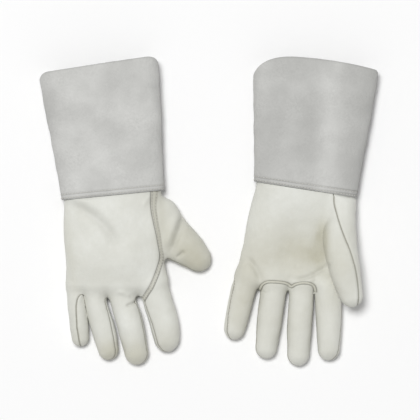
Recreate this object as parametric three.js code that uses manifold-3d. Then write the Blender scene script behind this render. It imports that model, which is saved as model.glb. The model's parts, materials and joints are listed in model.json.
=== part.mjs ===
// A pair of gauntlet welding gloves lying on a bench, in millimetres with +Z up: the right-hand glove lies
// with its back up, the left-hand glove with its palm up. Fingers point to -Y, cuffs to +Y, thumbs to +X.
// The origin is on the bench under the middle of the pair.
// Each glove is a hollow shell of leather pieces: a split-leather gauntlet cuff over a grain-leather hand,
// whose back, palm, keystone strap and finger pieces are sewn with welts. Every digit folds up about a
// hinge past its crotch.
import * as THREE from "three";
import { mergeVertices } from "three/addons/utils/BufferGeometryUtils.js";
import Module from "manifold-3d";

const wasm = await Module();
wasm.setup();

// Leather and sewing.
const GRAIN_WALL = 1.3; // thickness of the hand's grain leather
const SPLIT_WALL = 1.6; // thickness of the cuff's split leather
const SEAM_GAP = 0.3; // clearance between pieces that are sewn together
const WELT = 1.2; // thickness of the strip sewn into a seam
const WELT_PROUD = 0.6; // how far a welt stands out of the leather
const THREAD = 0.7; // width of a row of stitching
const THREAD_PROUD = 0.5; // height of a row of stitching

// Cuff: one wrap of split leather, closed by a welted seam on the thumb side.
const CUFF_OVERLAP = 14; // how far the hand reaches up inside the cuff
const STITCH_ROWS = [1.8, 6.2]; // heights of the two rows above the cuff's lower edge
const CUFF_EDGE_WIDTH = 120.6;
const CUFF_EDGE_HEIGHT = 38.6;
const CUFF_EDGE_LIFT = 1.4; // the sewn end rides this high above the bench
const CUFF_WAIST = 3; // how much slimmer the cuff is halfway up than a straight taper
const CUFF_WAIST_Y = 60;
const CUFF_SPARE = [10, 3]; // length below the lower edge and above the mouth, which the outline trims off
const OUTLINE_SPARE = 1; // how far the cuff's outline passes its sides, so that it cuts only its ends

// Hand.
const HAND_STATIONS = [CUFF_OVERLAP, 0, -40, -78, -100, -118]; // y of the stations from wrist to crotches
const HAND_LIFT = [3.6, 3.6, 0.8, 0, 0, 0];
const WRIST_TRIM = 1.5; // cut off the wrist end so that it ends on a flat ring
const SIDE_SEAM_Z = 14; // height of the seam between the glove's upper and lower half
const STRAP_WIDTH = 6;
const CROTCH_Y = -81; // the thumb's crotch, where the strap turns towards the fingers
const BASE_REACH = 30; // half the length of the welt at the fingers' base
const SEAM_LAP = 1; // how far the thumb's leather over the palm reaches below the side seam

// Digits.
const HINGE_GAP = 0.4; // half the clearance at a digit's hinge
const FLAT = 0.92; // share of the half height where a section's underside is flat
const HINGE_SAMPLES = 200; // points tried along a digit to find its hinge

// Shape of a section: |x|^n + |z|^n = 1, rounder on digits than on the hand and cuff.
const DIGIT_POWER = 2.3;
const HAND_POWER = 2.5;
const FAR = 200; // beyond the part in every direction

// Fineness of the faceted surfaces. The hand and the cuff share a side count, so that their flats line up.
const HAND_SIDES = 20;
const HAND_RINGS = 5;
const CUFF_RINGS = 2;
const DIGIT_SIDES = 12;
const DIGIT_RINGS = 3;
const TIP_RINGS = 3;
const CORNER_STEPS = 4;
const MERGE = 1e-4; // vertices closer than this are one

const UP = new THREE.Vector3(0, 0, 1);

const GLOVES = [
  {
    name: "right",
    upper: "back",
    place: [-114.1, 17.7],
    turn: 6.14,
    fold: 45, // degrees that a finger folds up
    cuff: {
      openWidth: 143,
      openHeight: 47,
      top: [152, 157],
      edge: [0.6, -0.6],
      corners: [[9, 9], [7, 7]],
    },
    left: [-58, -58.2, -62.3, -64.2, -66.6, -67.6],
    right: [56.5, 56.8, 51, 51, 53.5, 55],
    height: [34, 34, 36, 36, 32, 28],
    strap: [[50.5, 16], [48.5, -2], [46, -12], [45.5, -22], [46.6, -33], [48, -48], [49, -63],
      [49, -79], [45, -90], [39.5, -102], [31, -114], [23, -123], [19, -129]],
    base: [[-50, -128], [-44, -120], [-38, -114.5], [-30, -113], [-21, -113.5], [-17.5, -116],
      [-14, -113.5], [-3, -111.5], [9, -113], [16, -118], [20, -130]],
    rootSlit: -17.5,
    digits: [
      { name: "little", seamTilt: 103, hinge: [-56.6, -136],
        route: [[-55, -96, 1], [-56.6, -125, 0], [-56.3, -150, 0], [-56.6, -173.5, 0]],
        width: [21, 21.5, 22, 19], height: [24, 24, 23, 20] },
      { name: "ring", seamTilt: 46, hinge: [-31.5, -139],
        route: [[-35, -96, 1], [-33.8, -125, 0], [-28.6, -155, 0], [-23.6, -192.6, 0]],
        width: [25, 25.5, 28, 22.5], height: [26, 26, 25, 21] },
      { name: "middle", seamTilt: 46, hinge: [1.2, -142],
        route: [[-5, -96, 1], [-1.8, -125, 0], [4.6, -158, 0], [9, -201.8, 0]],
        width: [28, 30, 31, 27], height: [27, 27, 26, 22] },
      { name: "index", seamTilt: -39, hinge: [39.8, -144],
        route: [[35, -98, 1], [38.3, -125, 0], [43.4, -158, 0], [45.2, -190.3, 0]],
        width: [31, 34, 34, 26], height: [28, 27, 27, 22] },
      { name: "thumb", seamTilt: -10, fold: 40, hinge: [79.5, -72],
        route: [[24, -24, 5], [41, -36, 2], [61.1, -54.9, 0], [83.1, -75.4, 0], [102.3, -97, 0]],
        width: [62, 70, 54, 39, 24], height: [26, 29, 29, 27, 22] },
    ],
  },
  {
    name: "left",
    upper: "palm",
    place: [112.5, 23.8],
    turn: -5.47,
    fold: 60,
    cuff: {
      openWidth: 150,
      openHeight: 40,
      top: [158, 149.5],
      edge: [4, -3.4],
      corners: [[50, 28], [7, 7]],
    },
    left: [-58, -58.4, -64, -67, -71, -74.5],
    right: [57.6, 57.8, 53, 51, 54, 56.5],
    height: [34, 34, 32, 28, 27, 27],
    strap: [[50.5, 16], [48.5, -2], [46, -12], [45.5, -22], [46.6, -33], [48, -48], [49, -63],
      [49, -79], [46, -90], [41.5, -102], [35, -111], [27.5, -119], [23, -127]],
    base: [[-46, -134], [-42.5, -123], [-40, -117.5], [-36, -112.6], [-27, -111.4], [-16, -111.6],
      [-10, -112.2], [-6, -115], [-2, -112.2], [4, -110.4], [11, -109.8], [17.5, -111], [21.5, -115],
      [23.4, -130]],
    rootSlit: -6,
    thumbSeam: [[33.5, FAR], [33.5, -3], [35.4, -16.5], [42.1, -31.2], [49.7, -48.2], [58.7, -68.7],
      [65.5, -83.5], [69.5, -97], [76, -FAR]],
    digits: [
      { name: "little", seamTilt: -30, hinge: [-62.4, -143],
        route: [[-55, -96, 1], [-61.8, -126, 0], [-65.6, -155, 0], [-69, -184, 0]],
        width: [28, 29.5, 27.5, 22.5], height: [25, 24, 23, 21] },
      { name: "ring", seamTilt: -20, hinge: [-27, -143],
        route: [[-24, -96, 1], [-26.2, -126, 0], [-27.8, -160, 0], [-28.6, -202.7, 0]],
        width: [29, 30, 29, 24], height: [27, 26, 25, 22] },
      { name: "middle", seamTilt: -20, hinge: [7.6, -143],
        route: [[5, -96, 1], [6.8, -126, 0], [8.8, -165, 0], [10.6, -207.3, 0]],
        width: [28, 28.6, 28.6, 25], height: [27, 26, 25, 22] },
      { name: "index", seamTilt: 22, hinge: [41, -145],
        route: [[34, -96, 1], [39, -126, 0], [42.4, -160, 0], [46.6, -197.3, 0]],
        width: [29, 31, 29.5, 24.5], height: [28, 27, 26, 22] },
      { name: "thumb", seamTilt: 48, fold: 45, hinge: [58.5, -101],
        route: [[38, 4, 8], [43.3, -22, 11], [45.8, -50, 17], [54.5, -89, 24.8], [70, -132, 25.5]],
        width: [26, 33.5, 37, 35.5, 23], height: [25, 28, 29, 27, 22] },
    ],
  },
];

const GRAIN_LEATHER = new THREE.MeshStandardMaterial({ color: 0xe3e3dc, roughness: 0.55, metalness: 0 });
const SPLIT_LEATHER = new THREE.MeshStandardMaterial({ color: 0xc4c6c5, roughness: 0.95, metalness: 0 });
const WELT_LEATHER = new THREE.MeshStandardMaterial({ color: 0xdcdcd2, roughness: 0.6, metalness: 0 });
const SEWING_THREAD = new THREE.MeshStandardMaterial({ color: 0xcfcfc6, roughness: 0.8, metalness: 0 });

const rad = THREE.MathUtils.degToRad;
const sum = (solids) => wasm.Manifold.union(solids);
const largest = (shape) => shape.decompose().sort((a, b) => b.volume() - a.volume())[0];
const signedPower = (v, p) => Math.sign(v) * Math.abs(v) ** p;

// A closed geometry as a solid for cutting and joining.
function solid(geometry) {
  const bare = geometry.clone();
  bare.deleteAttribute("normal");
  bare.deleteAttribute("uv");
  const merged = mergeVertices(bare, MERGE);
  return new wasm.Manifold(
    new wasm.Mesh({
      numProp: 3,
      vertProperties: new Float32Array(merged.attributes.position.array),
      triVerts: new Uint32Array(merged.index.array),
    }),
  );
}

function mesh(name, shape, material) {
  const { vertProperties, triVerts, numProp } = shape.getMesh();
  const geometry = new THREE.BufferGeometry()
    .setAttribute("position", new THREE.BufferAttribute(new Float32Array(vertProperties), numProp))
    .setIndex(new THREE.BufferAttribute(new Uint32Array(triVerts), 1));
  geometry.computeVertexNormals();
  const made = new THREE.Mesh(geometry, material);
  made.name = name;
  return made;
}

const routeOf = ({ route }) => new THREE.CatmullRomCurve3(route.map((p) => new THREE.Vector3(...p)));
const sizesOf = ({ width, height }) =>
  new THREE.CatmullRomCurve3(width.map((w, i) => new THREE.Vector3(w, height[i], 0)));

// The stretched tube of a digit, hand or cuff. route holds [x, y, lowest z], and width and height belong to
// its points. grow moves the whole surface outwards.
function tube(unit, spec, power, grow) {
  const line = routeOf(spec);
  const size = sizesOf(spec);
  const length = line.getLength();
  unit.computeBoundingBox();
  const { min, max } = unit.boundingBox;
  const at = unit.attributes.position;
  for (let i = 0; i < at.count; i++) {
    const share = (at.getY(i) - min.y) / (max.y - min.y);
    const along = share * (length + 2 * grow) - grow;
    const inside = THREE.MathUtils.clamp(along, 0, length);
    const t = line.getUtoTmapping(inside / length);
    const tangent = line.getTangent(t).setZ(0).normalize();
    const side = tangent.clone().cross(UP);
    const { x: w, y: h } = size.getPoint(t);
    const reach = Math.hypot(at.getX(i), at.getZ(i));
    const turn = Math.atan2(at.getZ(i), at.getX(i));
    const across = reach * signedPower(Math.cos(turn), 2 / power);
    const raise = Math.max(reach * signedPower(Math.sin(turn), 2 / power), -FLAT);
    const halfHeight = (h + 2 * grow) / (1 + FLAT);
    const point = line.getPoint(t);
    const low = Math.max(point.z, 0) - grow;
    point.addScaledVector(tangent, along - inside).addScaledVector(side, across * (w / 2 + grow));
    at.setXYZ(i, point.x, point.y, low + halfHeight * (FLAT + raise));
  }
  return solid(unit);
}

const stationsOf = (glove) => ({
  route: HAND_STATIONS.map((y, i) => [(glove.left[i] + glove.right[i]) / 2, y, HAND_LIFT[i]]),
  width: HAND_STATIONS.map((_, i) => glove.right[i] - glove.left[i]),
  height: glove.height,
});

const hand = (glove, grow) =>
  tube(new THREE.CylinderGeometry(1, 1, 1, HAND_SIDES, HAND_RINGS), stationsOf(glove), HAND_POWER, grow);

// A digit's tube, rounded at both ends.
function digit(spec, grow) {
  const tipWidth = spec.width.at(-1) + 2 * grow;
  const straight = (2 * (routeOf(spec).getLength() + 2 * grow)) / tipWidth - 2;
  const unit = new THREE.CapsuleGeometry(1, straight, TIP_RINGS, DIGIT_SIDES, DIGIT_RINGS);
  return tube(unit, spec, DIGIT_POWER, grow);
}

function cuffTube(cuff, grow) {
  const [below, above] = CUFF_SPARE;
  const spec = {
    route: [[0, Math.max(...cuff.top) + above, 0], [0, CUFF_WAIST_Y, 0], [0, -below, CUFF_EDGE_LIFT]],
    width: [cuff.openWidth, (cuff.openWidth + CUFF_EDGE_WIDTH) / 2 - CUFF_WAIST, CUFF_EDGE_WIDTH],
    height: [cuff.openHeight, (cuff.openHeight + CUFF_EDGE_HEIGHT) / 2, CUFF_EDGE_HEIGHT],
  };
  return tube(new THREE.CylinderGeometry(1, 1, 1, HAND_SIDES, CUFF_RINGS), spec, HAND_POWER, grow);
}

const outlineOf = (points) => new THREE.Shape(points.map(([x, y]) => new THREE.Vector2(x, y)));

// A vertical prism over a shape, from far below the part to far above it.
function extruded(shape) {
  const options = { depth: 2 * FAR, bevelEnabled: false, curveSegments: CORNER_STEPS };
  return new THREE.ExtrudeGeometry(shape, options).translate(0, 0, -FAR);
}

const prism = (points) => solid(extruded(outlineOf(points)));

// A box between two values of x, y and z. The last two reach beyond the part when they are left out.
function block(x0, x1, y0, y1, z0 = -FAR, z1 = FAR) {
  const box = new THREE.BoxGeometry(x1 - x0, y1 - y0, z1 - z0);
  return solid(box.translate((x0 + x1) / 2, (y0 + y1) / 2, (z0 + z1) / 2));
}

// The glove's upper or lower half, leaving the side seam's clearance.
const halfOf = (half) =>
  half === "upper"
    ? block(-FAR, FAR, -2 * FAR, FAR, SIDE_SEAM_Z + SEAM_GAP / 2, FAR)
    : block(-FAR, FAR, -2 * FAR, FAR, -FAR, SIDE_SEAM_Z - SEAM_GAP / 2);

// A strip of even width along a line of points.
function strip(points, width) {
  const line = points.map(([x, y]) => new THREE.Vector2(x, y));
  const offset = (side) =>
    line.map((p, i) => {
      const [before, after] = [line[Math.max(i - 1, 0)], line[Math.min(i + 1, line.length - 1)]];
      const along = after.clone().sub(before).normalize();
      return [p.x - along.y * side, p.y + along.x * side];
    });
  return prism([...offset(-width / 2), ...offset(width / 2).reverse()]);
}

// A digit's frame at its hinge: x along the digit, y along the hinge, z up.
function hingeFrame(spec) {
  const line = routeOf(spec);
  const wanted = new THREE.Vector3(...spec.hinge, 0);
  const far = (t) => line.getPoint(t).setZ(0).distanceTo(wanted);
  let best = 0;
  for (let i = 1; i <= HINGE_SAMPLES; i++) {
    if (far(i / HINGE_SAMPLES) < far(best)) best = i / HINGE_SAMPLES;
  }
  const at = line.getPoint(best);
  at.z += sizesOf(spec).getPoint(best).y / 2;
  const along = line.getTangent(best).setZ(0).normalize();
  return new THREE.Matrix4().makeBasis(along, UP.clone().cross(along), UP).setPosition(at);
}

// What lies before and after a digit's hinge, leaving the wedge that closes as the digit folds up.
function hingeCutters(spec, fold) {
  const open = HINGE_GAP + Math.tan(rad(fold / 2)) * FAR;
  const side = [[HINGE_GAP, -FAR], [HINGE_GAP, 0], [open, FAR], [2 * FAR, FAR], [2 * FAR, -FAR]];
  const cutter = (sign) => {
    const shape = outlineOf(side.map(([x, z]) => [sign * x, z]));
    return solid(extruded(shape).rotateX(Math.PI / 2).applyMatrix4(hingeFrame(spec)));
  };
  return { fixed: cutter(-1), moving: cutter(1) };
}

// A slab about a digit's seam, turned about the digit: the welt's own slab, or all above or below it.
function seamSlab(spec, low, high) {
  const slab = new THREE.BoxGeometry(2 * FAR, 2 * FAR, high - low).translate(0, 0, (low + high) / 2);
  return solid(slab.rotateX(rad(spec.seamTilt)).applyMatrix4(hingeFrame(spec)));
}

// The moving pieces of one digit: back and front leather with a welt between them.
function digitPieces(glove, spec) {
  const { moving } = hingeCutters(spec, spec.fold ?? glove.fold);
  const hollow = digit(spec, -GRAIN_WALL);
  const shell = digit(spec, 0).intersect(moving).subtract(hollow);
  const proud = digit(spec, WELT_PROUD).intersect(moving).subtract(hollow);
  const clear = WELT / 2 + SEAM_GAP;
  const above = shell.intersect(seamSlab(spec, clear, FAR));
  const below = shell.intersect(seamSlab(spec, -FAR, -clear));
  const [back, front] = glove.upper === "back" ? [above, below] : [below, above];
  const name = `${glove.name}_${spec.name}`;
  return [
    mesh(`${name}_back`, back, GRAIN_LEATHER),
    mesh(`${name}_front`, front, GRAIN_LEATHER),
    mesh(`${name}_welt`, proud.intersect(seamSlab(spec, -WELT / 2, WELT / 2)), WELT_LEATHER),
  ];
}

// The hand's leather with the roots of its digits, open at the wrist.
function handShell(glove) {
  const fixed = (spec) => hingeCutters(spec, spec.fold ?? glove.fold).fixed;
  const roots = glove.digits.map((spec) => digit(spec, 0).intersect(fixed(spec)));
  const hollows = glove.digits.map((spec) => digit(spec, -GRAIN_WALL));
  const outer = sum([hand(glove, 0), ...roots]);
  const shell = outer.subtract(sum([hand(glove, -GRAIN_WALL), ...hollows]));
  return shell.intersect(block(-FAR, FAR, -2 * FAR, CUFF_OVERLAP - WRIST_TRIM));
}

// What lies on the thumb's side of the seam that runs down it over a raised palm.
const thumbSide = (glove, gap) =>
  glove.thumbSeam
    ? prism([...glove.thumbSeam, [FAR, -FAR], [FAR, FAR]].map(([x, y]) => [x - gap, y]))
    : sum([]);

// The back of the hand: the back panel, the keystone strap, and the thumb's and index finger's pieces beyond.
// Where the palm is up, the thumb's leather also comes round over the palm as far as the thumb's seam.
function backPieces(glove, shell) {
  const half = shell.intersect(halfOf(glove.upper === "back" ? "upper" : "lower"));
  const [first, last] = [glove.strap[0], glove.strap.at(-1)];
  const beyond = prism([...glove.strap, [last[0], -FAR], [FAR, -FAR], [FAR, first[1]]]);
  const slot = strip(glove.strap, STRAP_WIDTH + 2 * SEAM_GAP);
  const rest = half.subtract(slot);
  const outside = rest.intersect(beyond);
  const overSeam = shell
    .intersect(thumbSide(glove, 0))
    .intersect(block(-FAR, FAR, -FAR, FAR, SIDE_SEAM_Z - SEAM_LAP))
    .subtract(slot.intersect(block(-FAR, FAR, -FAR, FAR, -FAR, SIDE_SEAM_Z + SEAM_GAP / 2)));
  const pieces = {
    back_panel: rest.subtract(beyond),
    keystone_strap: half.intersect(strip(glove.strap, STRAP_WIDTH)),
    thumb_base: outside.intersect(block(-FAR, FAR, CROTCH_Y, FAR)).add(overSeam),
    index_base: outside.intersect(block(-FAR, FAR, -FAR, CROTCH_Y - SEAM_GAP)),
  };
  return Object.entries(pieces).map(([piece, shape]) =>
    mesh(`${glove.name}_${piece}`, largest(shape), GRAIN_LEATHER));
}

// What lies on the fingers' side of the welt at their base, once that line has moved towards the wrist.
function beyondBase({ base }, shift) {
  const middle = (base[0][0] + base.at(-1)[0]) / 2;
  const moved = base.map(([x, y]) => [x + (shift * (x - middle)) / BASE_REACH, y + shift]);
  return prism([...moved, [moved.at(-1)[0], -FAR], [moved[0][0], -FAR]]);
}

// The palm: one panel, the welt at the fingers' base, and past it the ring and middle fingers' roots.
function palmPieces(glove, shell) {
  const half = shell
    .intersect(halfOf(glove.upper === "palm" ? "upper" : "lower"))
    .subtract(thumbSide(glove, SEAM_GAP));
  const roots = half.intersect(beyondBase(glove, 0));
  const slit = glove.rootSlit;
  const pieces = {
    palm_panel: half.subtract(beyondBase(glove, 2 * SEAM_GAP + WELT)),
    ring_root: roots.intersect(block(-FAR, slit - SEAM_GAP / 2, -FAR, FAR)),
    middle_root: roots.intersect(block(slit + SEAM_GAP / 2, FAR, -FAR, FAR)),
  };
  const welt = half.intersect(beyondBase(glove, SEAM_GAP + WELT)).subtract(beyondBase(glove, SEAM_GAP));
  return [
    ...Object.entries(pieces).map(([piece, shape]) =>
      mesh(`${glove.name}_${piece}`, largest(shape), GRAIN_LEATHER)),
    mesh(`${glove.name}_finger_base_welt`, largest(welt), WELT_LEATHER),
  ];
}

// The cuff's outline seen from above: a slanted lower edge and rounded corners at the opening. Each corner
// holds how far it runs along the top and down the side.
function cuffOutline({ top, edge, corners, openWidth }, lift = 0) {
  const half = openWidth / 2;
  const side = half + OUTLINE_SPARE;
  const [[leftRun, leftDrop], [rightRun, rightDrop]] = corners;
  return new THREE.Shape()
    .moveTo(-side, edge[0] + lift)
    .lineTo(side, edge[1] + lift)
    .lineTo(side, top[1] - rightDrop)
    .quadraticCurveTo(half, top[1], half - rightRun, top[1])
    .lineTo(-half + leftRun, top[0])
    .quadraticCurveTo(-half, top[0], -side, top[0] - leftDrop);
}

function cuffPieces(glove) {
  const { cuff, name } = glove;
  const over = (shape) => solid(extruded(shape));
  const hollow = cuffTube(cuff, -SPLIT_WALL);
  const wall = cuffTube(cuff, 0).subtract(hollow).intersect(over(cuffOutline(cuff)));
  const seamZ = CUFF_EDGE_LIFT + CUFF_EDGE_HEIGHT / 2;
  const slot = (thick) => block(0, FAR, -FAR, FAR, seamZ - thick / 2, seamZ + thick / 2);
  const proud = cuffTube(cuff, WELT_PROUD).subtract(hollow).intersect(over(cuffOutline(cuff)));
  const thread = cuffTube(cuff, SEAM_GAP + THREAD_PROUD).subtract(cuffTube(cuff, SEAM_GAP));
  const rows = STITCH_ROWS.map((height) => {
    const band = over(cuffOutline(cuff, height)).subtract(over(cuffOutline(cuff, height + THREAD)));
    return thread.intersect(band).subtract(slot(WELT + 2 * SEAM_GAP));
  });
  return [
    mesh(`${name}_cuff_panel`, wall.subtract(slot(WELT + 2 * SEAM_GAP)), SPLIT_LEATHER),
    mesh(`${name}_cuff_side_welt`, proud.intersect(slot(WELT)), SPLIT_LEATHER),
    mesh(`${name}_cuff_lower_stitching`, rows[0], SEWING_THREAD),
    mesh(`${name}_cuff_upper_stitching`, rows[1], SEWING_THREAD),
  ];
}

function buildGlove(glove) {
  const shell = handShell(glove);
  const group = new THREE.Group();
  group.add(...cuffPieces(glove), ...backPieces(glove, shell), ...palmPieces(glove, shell));
  glove.digits.forEach((spec) => group.add(...digitPieces(glove, spec)));
  group.position.set(...glove.place, 0);
  group.rotation.z = rad(glove.turn);
  return group;
}

const pair = new THREE.Group();
GLOVES.forEach((glove) => pair.add(buildGlove(glove)));

export default pair;
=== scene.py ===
import json
import math

import bpy
import numpy as np
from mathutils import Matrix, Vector


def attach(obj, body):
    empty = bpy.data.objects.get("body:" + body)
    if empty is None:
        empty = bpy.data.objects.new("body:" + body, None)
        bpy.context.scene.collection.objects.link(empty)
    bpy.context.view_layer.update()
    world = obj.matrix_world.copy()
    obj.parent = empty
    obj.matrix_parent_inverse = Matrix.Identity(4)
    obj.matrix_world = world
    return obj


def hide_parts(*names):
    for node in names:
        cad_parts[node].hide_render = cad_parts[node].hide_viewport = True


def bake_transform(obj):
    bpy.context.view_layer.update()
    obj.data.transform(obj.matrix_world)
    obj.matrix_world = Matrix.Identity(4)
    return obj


# The looks of a pair of gauntlet welding gloves. The skin of each glove is one smooth surface
# round a hand and five digits. It is cut along its seams into pieces of leather with real
# thickness. Tables are in millimetres in each glove's own frame:
# y 0 is the cuff's lower edge, +y runs to the cuff's mouth, +x to the thumb and +z up. Blender
# objects are in metres, placed by the imported joints.

MM = 0.001
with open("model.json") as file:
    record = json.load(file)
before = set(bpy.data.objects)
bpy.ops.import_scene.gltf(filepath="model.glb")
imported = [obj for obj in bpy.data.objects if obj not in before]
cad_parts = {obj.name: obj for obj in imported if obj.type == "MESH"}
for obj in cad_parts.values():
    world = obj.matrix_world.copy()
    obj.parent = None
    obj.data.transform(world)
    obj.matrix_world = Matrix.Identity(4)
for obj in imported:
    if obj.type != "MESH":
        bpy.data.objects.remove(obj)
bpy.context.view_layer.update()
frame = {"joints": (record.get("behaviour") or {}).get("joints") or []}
JOINTS = {joint["name"]: joint for joint in frame["joints"]}

# ---------------------------------------------------------------- sizes

GRAIN_WALL = 1.3  # thickness of the hand's leather
SPLIT_WALL = 1.7  # thickness of the cuff's leather
GRID = 1.4  # spacing of the grid that finds the skin
FLAT = 0.92  # share of the half height where a section's underside is flat
UNDERSIDE_MELT = 2.5  # how wide the flat underside and the sides melt together
DIGIT_POWER = 2.25  # how boxy a digit's section is, where 2 is an ellipse
HAND_POWER = 2.5
HAND_FRONT = 13.0  # how far the hand rounds off towards the crotches
HAND_BLEND = 8.0  # how wide the hand and a digit melt together
SIDE_SEAM = 14.0  # height of the seam round the hand's sides
WRIST = 12.5  # the hand's leather ends here, inside the cuff
THUMB_CROTCH = -81.0
ROOTS_BELOW = -18.0  # y of the leathers at the fingers' roots, from the thumb's crotch
SEAM_RUN = 6.0  # how far the hand's seams are cut on past the start of a digit
FLOOR_GAP = 0.25
FLOOR_TOUCH = 0.0002  # the lowest z of a leather piece, in metres

WELT = 0.75  # half the width of the strip in a finger seam
WELT_RUN = 12.0  # how far a finger's welt runs up past its crotch
WELT_REACH = 2.5  # how far off its finger's own shape a welt may lie
GROOVE = 0.55  # depth of the groove at a seam
GROOVE_WIDTH = 1.15
RIDGE, RIDGE_WIDTH, RIDGE_FROM_SEAM = 0.16, 1.3, 2.9  # the soft ridge beside the groove
PIPING = 1.5  # half the width of the piping at the fingers' base
STRAP_PROUD = 0.7

PRESSED = 3.5  # how far the thumb that lies over the palm presses it down
PRESS_START, PRESS_RUN = 50, 30  # how far along the thumb that begins, and grows to all of it
CORNER_START, CORNER_RUN = 20, 45  # the same for the sharp corner between that thumb and the palm
HOLLOW_FLOOR = 8.0  # a hollow of the palm begins at this height, and is whole at twice as much
GRAIN_INSIDE_SHADE = 0.6  # painted shade on the leathers' inner sides, which lie in the glove's dim inside: how dark they are painted
SPLIT_INSIDE_SHADE = 0.45
SEAM_TURN = 22.0  # length over which a finger seam turns into the side seam
SNAP = 0.1  # a point this close to a seam counts as on it
FAR = 1e3  # the distance that stands for a seam that isn't there
SKIN_BOX = [(-84, 116), (-214, 18), (-2.8, 57)]

SEAM_LEVELS = [-2.6, -1.5, -WELT, -0.35, 0, 0.35, WELT, 1.5, 2.6]
STRAP_LEVELS = [-1.6, -0.6, 0, 0.8, 2]
PIPING_LEVELS = [-3.4, -2.2, -PIPING, -0.8, 0, 0.8, PIPING, 2.2, 3.4]
WELT_PROUD, WELT_SUNK = 0.35, 0.42  # how high a welt is, and how far it is set in
PIPING_PROUD, PIPING_SUNK = 1.3, 0.3
PIPING_LEAD = 11.0  # how far from each end of its line the piping starts

STITCH = 2.5
STITCH_GAP = 1.1
STITCH_AIM = 0.8  # how far to each side a stitch looks for its direction
THREAD = 0.36  # half the thickness of the sewing thread
# The place and the size of each ring of points along a stitch.
STITCH_RINGS = [(-1, 0.35), (-0.8, 0.8), (-0.35, 1), (0.35, 1), (0.8, 0.8), (1, 0.35)]
STRAP_ROWS = [-0.62, 0.62]  # the strap's two rows of stitches, as shares of its half width
EDGE_ROW = 1.3  # how far the stitches beside the hand's outer seam are from it
OUTER_EDGE = [-66, -84, -172]  # the x those stitches are beyond, and the y where they start and end

CUFF_EDGE_WIDTH = 120.6
CUFF_EDGE_HEIGHT = 38.6
CUFF_EDGE_LIFT = 1.4
CUFF_MIDDLE = 60  # height of the cuff's waist
CUFF_WAIST = 3  # how much slimmer the cuff is there than a straight taper
SEWN_DEPTH, SEWN_WIDTH = 0.4, 0.9  # the groove under a row of stitches on the cuff
CUFF_SEAM_DEPTH, CUFF_SEAM_WIDTH = 0.7, 1.5
CUFF_ROWS = 110
CUFF_COLUMNS = 260
CUFF_STITCH_ROWS = [1.8, 6.2]  # heights of the two rows above the cuff's lower edge
CUFF_WELT = 1.1  # half the thickness of the strip in the cuff's side seam
CUFF_WELT_SUNK = 0.55  # share of it that is sunk into the cuff
CUFF_ROOM = 0.7  # free room between the hand and the cuff
# A cuff's two top heights and two lower edge heights are at its left and right sides. Its mouth is
# higher by crown in the middle. Its corners hold the run and the drop of the rounding at each side.
# Its bands are painted shade as soft dark spots, or painted light as light ones where the amount is
# below 0; they darken the cuff's sides and lighten a stripe across it.
CUFFS = {
    "right": {
        "open_width": 143,
        "open_height": 47,
        "top": [152, 157],
        "crown": 0,
        "edge": [0.6, -0.6],
        "corners": [(12, 13), (15, 14)],
        "bands": [((-64, 80), (12, 140), 0.18), ((66, 80), (7, 140), 0.1),
                  ((8, 80), (9, 60), 0.06)],
    },
    "left": {
        "open_width": 150,
        "open_height": 40,
        "top": [149.2, 147.2],
        "crown": 5.5,
        "edge": [4, -3.4],
        "corners": [(46, 27), (7, 7)],
        "bands": [((0, 78), (400, 400), 0.26), ((19, 80), (13, 160), -0.24),
                  ((50, 80), (16, 120), 0.1), ((-25, 100), (26, 60), 0.07),
                  ((-25, 18), (34, 26), -0.1)],
    },
}

HAND_Y = [14, 0, -40, -78, -100, -118]
HAND_LIFT = [3.6, 3.6, 0.8, 0, 0, 0]

# The strap starts alike on both gloves.
STRAP_START = [(50.5, 16), (48.8, -2), (46, -18), (46.4, -33), (47.8, -50), (48.8, -66), (49, -79)]
STRAP_HALF = [4.6, 4.3, 3.5, 3.1, 2.7, 2.3, 2.2, 2.3, 2.5, 2.5, 2.4, 2.2]
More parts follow.
